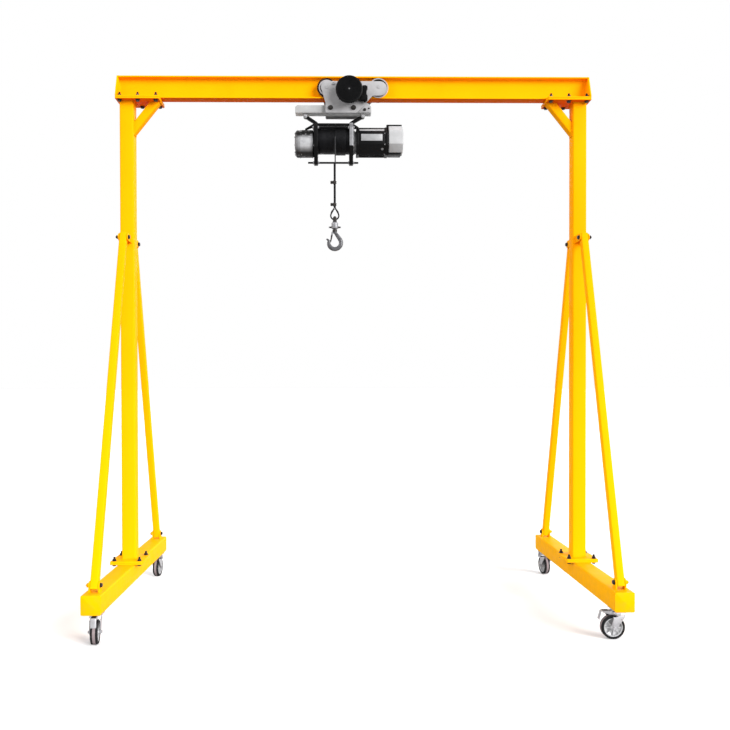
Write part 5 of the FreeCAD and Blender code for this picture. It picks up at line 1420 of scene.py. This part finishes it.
def make_fan_cover():
    """The pressed fan cover: rounded edges, a slotted end face and black trim above and below."""
    start, end = COVER_X
    shell = cut_out("cover", eight_sided(96.5, 50, COVER_Z, 0, 14), "YZ", start + 4 * MM, end, 9 * MM, 4)
    joint = cut_out("joint", eight_sided(96.5, 50, COVER_Z, -2.5, 12), "YZ", start, start + 8 * MM, MM, 2)
    slots = []
    for row in range(-5, 6):
        height = row * 12 * MM
        reach = math.sqrt(max(0.0, (72 * MM) ** 2 - height ** 2))
        slots.append(block("slot", (end - 5 * MM, -reach, COVER_Z + height - 2.6 * MM),
                           (end + 4 * MM, reach, COVER_Z + height + 2.6 * MM), 1.2 * MM))
    grille = joined("grille", slots)
    apply_modifier(shell, "BOOLEAN", object=grille, operation="DIFFERENCE", solver="EXACT")
    bpy.data.objects.remove(grille)
    smooth(shell)
    # Painted shade: the floors and walls of the slots are black, standing in for the shaded hollow behind the
    # grille.
    paint(shell, COVER_PAINT, BLACK_PAINT,
          lambda centre, normal: centre.x > end - 6 * MM and centre.x < end - 0.6 * MM
          and math.hypot(centre.y, centre.z - COVER_Z) < 74 * MM)
    paint(joint, BLACK_PAINT)
    trims = [block("top_trim", (start - 8 * MM, -46 * MM, COVER_Z + 95.5 * MM),
                   (end - 8 * MM, 46 * MM, COVER_Z + 107 * MM),
                   3 * MM),
             block("low_trim", (start + 2 * MM, -44 * MM, COVER_Z - 108 * MM),
                   (end - 14 * MM, 44 * MM, COVER_Z - 94 * MM),
                   4 * MM)]
    for piece in trims:
        paint(piece, BLACK_PAINT)
    heads = []
    for index in range(4):
        angle = math.pi / 4 + math.pi / 2 * index
        heads.append(facing((start + 16 * MM, 91.5 * MM * 1.02 * math.cos(angle),
                             COVER_Z + 93 * MM * math.sin(angle)),
                            (0, math.cos(angle), math.sin(angle)), 0.3))
    screws = paint(scatter(bolt_head(3 * MM), "screws", heads), ZINC)
    finish(joined("hoist_fan_cover_finished", [shell, joint, screws] + trims), None, "trolley",
           "light_grey_paint",
           "hoist_fan_cover")


def make_hangers():
    """Forged links from the suspension bar's ears down to the hoist's ribs, with a nut on each pin's ends."""
    pieces = []
    for top, foot in ((-355 * MM, -278 * MM), (65 * MM, -21 * MM)):
        top_z, foot_z = 3580 * MM, 3530 * MM
        along = (Vector((foot, 0, foot_z)) - Vector((top, 0, top_z))).normalized()
        across = Vector((-along.z, 0, along.x))
        angle = math.degrees(math.atan2(across.z, across.x))
        outline = arc(top, top_z, 12.5 * MM, angle, angle + 180, 12)
        outline += arc(foot, foot_z, 11 * MM, angle + 180, angle + 360, 12)
        link = cut_out("link", outline, "XZ", -11.8 * MM, 11.8 * MM, 2.5 * MM, 3)
        pieces.append(paint(link, BLACK_PAINT))
        pin = cylinder("pin", (top, -20 * MM, top_z), (top, 20 * MM, top_z), 7 * MM)
        pieces.append(paint(pin, ZINC))
        for hand in (-1, 1):
            nut = joined("nut", [hexagon("nut", 9.4 * MM, 1.2 * MM, 6 * MM),
                                 washer("washer", 11 * MM, 7 * MM, 0, 1.2 * MM)])
            nut.data.transform(facing((top, hand * 18.3 * MM, top_z), Y * hand, 0.4))
            pieces.append(paint(nut, ZINC))
    finish(joined("hoist_hangers_finished", pieces), None, "trolley", "black_cast", "hoist_hangers")


# ------------------------------------------------------------------ rope and hook

ROPE_X = -138 * MM
ROPE_Y = middle("rope_end").y
ROPE_LOW = low("hoist_rope").z
EYE = Vector((-142 * MM, ROPE_Y, 2834 * MM))
BLOCK_Z = (2739 * MM, 2786 * MM)
BOWL = Vector((-142 * MM, ROPE_Y, 2638 * MM))
CLEVIS_GAP, CLEVIS_THICK, CLEVIS_PIN = 6 * MM, 7 * MM, 7 * MM
CROSS_PIN_Z = 2750 * MM
SHANK, SHANK_TOP = 9 * MM, 2768 * MM
LATCH_PIVOT = BOWL + Vector((-18 * MM, 0, 74 * MM))


def stranded(name, path, radius, strands=6, lay=0.060):
    """A laid rope along a path: strands twisted round its middle line."""
    lengths = [0.0]
    for start, end in zip(path, path[1:]):
        lengths.append(lengths[-1] + (Vector(end) - Vector(start)).length)
    strand = radius * 0.345
    pieces = []
    for index in range(strands):
        points = []
        for number, here in enumerate(path):
            before, after = path[max(number - 1, 0)], path[min(number + 1, len(path) - 1)]
            along = (Vector(after) - Vector(before)).normalized()
            side = along.cross(Y)
            if side.length < 0.1:
                side = along.cross(X)
            side.normalize()
            across = along.cross(side)
            angle = math.tau * (index / strands + lengths[number] / lay)
            points.append(tuple(Vector(here) + (side * math.cos(angle) + across * math.sin(angle))
                                * (radius - strand)))
        pieces.append(swept(name, points, strand, 8))
    return joined(name, pieces)


def straight(start, end, step):
    """Points of a straight run, no further apart than the step."""
    start, end = Vector(start), Vector(end)
    count = max(1, math.ceil((end - start).length / step))
    return [start + (end - start) * index / count for index in range(count + 1)]


def make_hoist_rope():
    """The fall of rope from the drum."""
    start, end = (ROPE_X, ROPE_Y, DRUM_Z), (ROPE_X, ROPE_Y, ROPE_LOW)
    rope = stranded("hoist_rope_laid", straight(start, end, 4 * MM), 4.4 * MM)
    paint(rope, ROPE_WIRE)
    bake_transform(rope)
    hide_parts("hoist_rope")


def make_rope_end():
    """The rope's end: two parts side by side down to a loop round its thimble."""
    pieces, join_z = [], 2894 * MM
    for hand in (1, -1):
        x = EYE.x + hand * 3.8 * MM
        top = ROPE_LOW - MM
        path = straight((x, ROPE_Y, top), (x, ROPE_Y, join_z), 4 * MM)
        for step in range(1, 9):
            share = step / 8
            ease = share * share * (3 - 2 * share)
            path.append(Vector((x + hand * 22 * MM * ease, ROPE_Y, join_z - 42 * MM * share)))
        path += [Vector((EYE.x + hand * 30 * MM * math.cos(math.radians(angle)), ROPE_Y,
                         EYE.z + 30 * MM * math.sin(math.radians(angle)))) for angle in range(20, -96, -8)]
        pieces.append(stranded("rope_end", path, 4.3 * MM))
    pieces.append(cylinder("seizing", (EYE.x - 3.8 * MM, ROPE_Y, ROPE_LOW - 12 * MM),
                           (EYE.x - 3.8 * MM, ROPE_Y, ROPE_LOW - 0.3 * MM), 4 * MM, 0.6 * MM, 20))
    rope = paint(joined("rope_end", pieces), ROPE_DARK)
    thimble = []
    for angle in range(-215, 36, 10):
        thimble.append((EYE.x + 26.8 * MM * math.cos(math.radians(angle)), ROPE_Y,
                        EYE.z + 26.8 * MM * math.sin(math.radians(angle))))
    thimble += [(EYE.x + 5 * MM, ROPE_Y, EYE.z + 47 * MM), (EYE.x - 5 * MM, ROPE_Y, EYE.z + 47 * MM)]
    ring = swept("thimble", thimble, 3.2 * MM, 10, closed=True)
    paint(ring, DARK_STEEL)
    finish(joined("rope_end_laid", [rope, ring]), None, "hook_block", "steel_rope", "rope_end")


def make_rope_clips():
    """Two wire rope clips: a saddle over the rope, a U-bolt round it and its two nuts."""
    pieces = []
    for z in (3073 * MM, 2914 * MM):
        outline = rounded_outline([(EYE.x - 12 * MM, ROPE_Y - 12 * MM, 3 * MM),
                                   (EYE.x - 2 * MM, ROPE_Y - 12 * MM, 3 * MM),
                                   (EYE.x + 3 * MM, ROPE_Y - 5 * MM, 2 * MM),
                                   (EYE.x + 3 * MM, ROPE_Y + 5 * MM, 2 * MM),
                                   (EYE.x - 2 * MM, ROPE_Y + 12 * MM, 3 * MM),
                                   (EYE.x - 12 * MM, ROPE_Y + 12 * MM, 3 * MM)])
        pieces.append(cut_out("saddle", outline, "XY", z - 12 * MM, z + 12 * MM, 1.5 * MM))
        for rise in (-5 * MM, 5 * MM):
            bow = [(EYE.x + (4 + 7.5 * math.cos(math.radians(angle))) * MM,
                    ROPE_Y + 8.6 * MM * math.sin(math.radians(angle)), z + rise)
                    for angle in range(-90, 91, 15)]
            tips = [(EYE.x - 31 * MM, ROPE_Y + hand * 8.6 * MM, z + rise) for hand in (-1, 1)]
            pieces.append(swept("u_bolt", [tips[0]] + bow + [tips[1]], 3 * MM, 12))
            for tip in tips:
                nut = hexagon("nut", 5.6 * MM, 0, 5 * MM)
                nut.data.transform(facing(Vector(tip) + X * 13 * MM, -X, tip[1]))
                pieces.append(nut)
    finish(joined("rope_clips_finished", pieces), DARK_STEEL, "hook_block", "dark_bolt", "rope_clips")


def make_swivel_block():
    """The swivel block: a clevis with its pin for the rope's eye, a turned barrel and the cross pin."""
    low_z, high_z = BLOCK_Z
    barrel = turned("barrel", (EYE.x, ROPE_Y, 0), Z, [
        (low_z, 14 * MM), (low_z, 21 * MM), (low_z + 2 * MM, 23.4 * MM), (low_z + 4 * MM, 24 * MM),
        (low_z + 21 * MM, 24 * MM), (low_z + 22 * MM, 23 * MM), (low_z + 24 * MM, 23 * MM),
        (low_z + 25 * MM, 24 * MM),
        (high_z - 8 * MM, 24 * MM), (high_z - 3 * MM, 21 * MM), (high_z - MM, 17 * MM), (high_z, 13 * MM),
        (high_z, 0)], 48)
    pieces = [paint(barrel, BLOCK_STEEL)]
    pin_z = EYE.z - 26 * MM + 7 * MM
    for hand in (-1, 1):
        cheek = [(EYE.x - 15 * MM, high_z - 12 * MM), (EYE.x + 15 * MM, high_z - 12 * MM)]
        cheek += arc(EYE.x, pin_z, 13 * MM, 0, 180, 14)
        near, far = ROPE_Y + hand * CLEVIS_GAP, ROPE_Y + hand * (CLEVIS_GAP + CLEVIS_THICK)
        pieces.append(paint(cut_out("cheek", cheek, "XZ", near, far, 1.4 * MM), DARK_STEEL))
        end = turned("pin_end", (EYE.x, far, pin_z), Y * hand, [(-MM, 0), (-MM, 8 * MM), (0.4 * MM, 8 * MM),
                                                               (0.7 * MM, 7 * MM), (0.7 * MM, 0)], 24)
        pieces.append(paint(end, DARK_STEEL))
        tip = turned("cross_pin", (EYE.x, ROPE_Y, CROSS_PIN_Z), X * hand, [
            (20 * MM, 0), (20 * MM, 8.5 * MM), (25 * MM, 8.5 * MM), (26 * MM, 6 * MM), (38 * MM, 6 * MM),
            (38.6 * MM, 5.4 * MM), (43.4 * MM, 5.4 * MM), (44 * MM, 4.4 * MM), (44 * MM, 0)], 28)

        def far_end(centre, normal):
            return abs(centre.x - EYE.x) > 37.8 * MM
        pieces.append(paint(tip, DARK_STEEL, BLOCK_STEEL, far_end))
    pin = cylinder("pin", (EYE.x, ROPE_Y - CLEVIS_GAP, pin_z), (EYE.x, ROPE_Y + CLEVIS_GAP, pin_z),
                   CLEVIS_PIN)
    pieces.append(paint(pin, STEEL))
    finish(joined("hook_swivel_block_finished", pieces), None, "hook_block", "zinc_steel",
           "hook_swivel_block")


def make_hook():
    """The forged hook: one bar, thick round the bowl and thin at its point, with its shank and collar."""
    ring, thick, neck = 44.5 * MM, 15.5 * MM, 11 * MM
    neck_top = BOWL.z + 78 * MM
    points = [(BOWL.x, ROPE_Y, neck_top, neck / thick)]
    first = 35
    start = Vector((BOWL.x + ring * math.cos(math.radians(first)), ROPE_Y,
                    BOWL.z + ring * math.sin(math.radians(first))))
    top = Vector((BOWL.x, ROPE_Y, neck_top))
    for share in (0.2, 0.4, 0.6, 0.8):
        here = top.lerp(start, share)
        points.append((here.x, ROPE_Y, here.z, (neck + (thick - neck) * share) / thick))
    for angle in range(first, -203, -6):
        share = (first - angle) / 237
        swell = 1.0 - 0.42 * max(0.0, (share - 0.72) / 0.28) ** 1.4
        points.append((BOWL.x + ring * math.cos(math.radians(angle)), ROPE_Y,
                       BOWL.z + ring * math.sin(math.radians(angle)), swell))
    last = points[-1]
    for step, (out, rise) in enumerate(((5, 4), (11, 9), (18, 14))):
        points.append((last[0] - out * MM, ROPE_Y, last[2] + rise * MM, last[3] - 0.09 * (step + 1)))
    bar = swept("bar", points, thick, 24)
    for vertex in bar.data.vertices:
        vertex.co.y = ROPE_Y + (vertex.co.y - ROPE_Y) * 0.74
    shank = turned("shank", (BOWL.x, ROPE_Y, 0), Z, [
        (neck_top - 8 * MM, 0), (neck_top - 8 * MM, 9 * MM), (neck_top, 10.9 * MM),
        (neck_top + 2 * MM, 11 * MM),
        (neck_top + 16 * MM, 11 * MM), (SHANK_TOP - 2 * MM, SHANK), (SHANK_TOP, SHANK - 1.5 * MM),
        (SHANK_TOP, 0)], 32)
    collar = turned("collar", (BOWL.x, ROPE_Y, 0), Z, [
        (neck_top + 2 * MM, SHANK), (neck_top + 2 * MM, 14 * MM), (neck_top + 4 * MM, 17 * MM),
        (neck_top + 15 * MM, 17 * MM), (neck_top + 17.4 * MM, 15 * MM), (neck_top + 17.4 * MM, SHANK)], 32)
    paint(bar, HOOK_STEEL)
    paint(shank, HOOK_STEEL)
    paint(collar, DARK_STEEL)
    pivot = LATCH_PIVOT
    lug = cut_out("lug", [(BOWL.x, pivot.z + 6 * MM), (BOWL.x, pivot.z - 6.5 * MM)]
                  + arc(pivot.x, pivot.z, 6.5 * MM, -90, -270, 12), "XZ", ROPE_Y - 4 * MM, ROPE_Y + 4 * MM,
                  MM)
    bore = cylinder("bore", pivot - Y * 9 * MM, pivot + Y * 9 * MM, 3.1 * MM)
    apply_modifier(lug, "BOOLEAN", object=bore, operation="DIFFERENCE", solver="EXACT")
    bpy.data.objects.remove(bore)
    paint(lug, HOOK_STEEL)
    finish(joined("hook_forged", [bar, shank, collar, lug]), None, "hook", "forged_steel", "hook")


def make_latch():
    """The sprung latch: a dished tongue between two cheeks, and its pin."""
    lean = Matrix.Translation(LATCH_PIVOT) @ Matrix.Rotation(math.radians(9.9), 4, "Y")
    inner, sheet, reach = 4.3 * MM, 2 * MM, 72 * MM
    sides, pieces = [], []
    sides.append(block("tongue", (-2 * MM, -inner - sheet, -reach), (2 * MM, inner + sheet, -13 * MM),
                       1.2 * MM))
    for hand in (-1, 1):
        eye = [(-6.3 * MM, -20 * MM), (6.3 * MM, -20 * MM)] + arc(0, 0, 6.3 * MM, 0, 180, 12)
        pieces.append(cut_out("eye", eye, "XZ", hand * inner, hand * (inner + sheet), 0.5 * MM))
        side = rounded_outline([(-6.3 * MM, -19 * MM, 0), (-5 * MM, -62 * MM, 4 * MM),
                                (3 * MM, -70 * MM, 2 * MM),
                                (6.3 * MM, -19 * MM, 0)])
        sides.append(cut_out("side", side, "XZ", hand * (inner + 0.2 * MM), hand * (inner + sheet),
                             0.5 * MM))
    pin_half = inner + 2 * sheet
    pieces.append(cylinder("pin", (0, -pin_half, 0), (0, pin_half, 0), 3 * MM, 0.6 * MM, 20))
    for group, material in ((pieces, BLOCK_STEEL), (sides, DARK_STEEL)):
        for piece in group:
            piece.data.transform(lean)
            paint(piece, material)
    finish(joined("hook_latch_finished", pieces + sides), None, "latch", "dark_bolt", "hook_latch")


make_side_plates()
make_clamp_bolts()
make_trolley_wheels()
make_trolley_motor()
make_terminal_box()
make_suspension_bar()


make_hoist_frames()
make_tie_rods()
make_drum()
make_gearbox()
make_adapter()
make_hoist_motor()
make_fan_cover()
make_hangers()


make_hoist_rope()
make_rope_end()
make_rope_clips()
make_swivel_block()
make_hook()
make_latch()


# ------------------------------------------------------------------ floor, light and camera

def seen_or_lit(tree, seen, lit):
    """Joins two shaders: one for what is seen or mirrored, one for the soft light that falls on the crane."""
    mix = tree.nodes.new("ShaderNodeMixShader")
    path = tree.nodes.new("ShaderNodeLightPath").outputs
    either = tree.nodes.new("ShaderNodeMath")
    either.operation = "MAXIMUM"
    tree.links.new(path["Is Camera Ray"], either.inputs[0])
    tree.links.new(path["Is Glossy Ray"], either.inputs[1])
    tree.links.new(either.outputs[0], mix.inputs["Fac"])
    tree.links.new(lit.outputs[0], mix.inputs[1])
    tree.links.new(seen.outputs[0], mix.inputs[2])
    return mix.outputs[0]


def make_stage():
    """A pale studio: a wide floor that throws back little light, under a white sky."""
    select_none()
    bpy.ops.mesh.primitive_plane_add(size=600, location=(0, 200, -0.0005))
    floor = bpy.context.object
    floor.name = "studio_floor"
    material = bpy.data.materials.new("studio_floor")
    material.use_nodes = True
    tree = material.node_tree
    pale, dim = tree.nodes["Principled BSDF"], tree.nodes.new("ShaderNodeBsdfDiffuse")
    pale.inputs["Base Color"].default_value = (0.95, 0.95, 0.95, 1)
    pale.inputs["Roughness"].default_value = 0.9
    pale.inputs["Specular IOR Level"].default_value = 0.0
    dim.inputs["Color"].default_value = (0.30, 0.30, 0.30, 1)
    tree.links.new(seen_or_lit(tree, pale, dim), tree.nodes["Material Output"].inputs["Surface"])
    floor.data.materials.append(material)
    sky = bpy.data.worlds.new("studio_sky")
    bpy.context.scene.world = sky
    sky.use_nodes = True
    tree = sky.node_tree
    seen, lit = tree.nodes["Background"], tree.nodes.new("ShaderNodeBackground")
    seen.inputs["Color"].default_value = (1, 1, 1, 1)
    lit.inputs["Color"].default_value = (1, 1, 1, 1)
    lit.inputs["Strength"].default_value = 0.42
    tree.links.new(seen_or_lit(tree, seen, lit), tree.nodes["World Output"].inputs["Surface"])


def add_sun(name, azimuth, height, strength, spread):
    """A wide soft light from far away; azimuth 0 is the front and 90 the right."""
    data = bpy.data.lights.new(name, "SUN")
    data.energy = strength
    data.angle = math.radians(spread)
    lamp = bpy.data.objects.new(name, data)
    bpy.context.collection.objects.link(lamp)
    turn, rise = math.radians(azimuth), math.radians(height)
    source = Vector((math.sin(turn) * math.cos(rise), -math.cos(turn) * math.cos(rise), math.sin(rise)))
    lamp.matrix_world = source.to_track_quat("Z", "Y").to_matrix().to_4x4()


def make_camera():
    """The view from head height in front, level, a little left of the middle."""
    data = bpy.data.cameras.new("view")
    data.sensor_width = 36
    data.lens = 38.493
    data.shift_x = 0.02866
    data.shift_y = 0.04242
    data.clip_end = 400
    camera = bpy.data.objects.new("view", data)
    bpy.context.collection.objects.link(camera)
    tilt = Matrix.Rotation(math.radians(90 - 0.704), 4, "X")
    swing = Matrix.Rotation(math.radians(-0.836), 4, "Z")
    lean = Matrix.Rotation(math.radians(-0.118), 4, "Z")
    camera.matrix_world = Matrix.Translation((-0.160, -5.749, 1.602)) @ swing @ tilt @ lean
    bpy.context.scene.camera = camera


make_stage()
add_sun("key_light", 48, 18, 5.6, 40)
add_sun("fill_light", -65, 20, 2.4, 60)
add_sun("rear_light", 160, 35, 1.5, 60)
make_camera()
bpy.context.scene.view_settings.view_transform = "Standard"
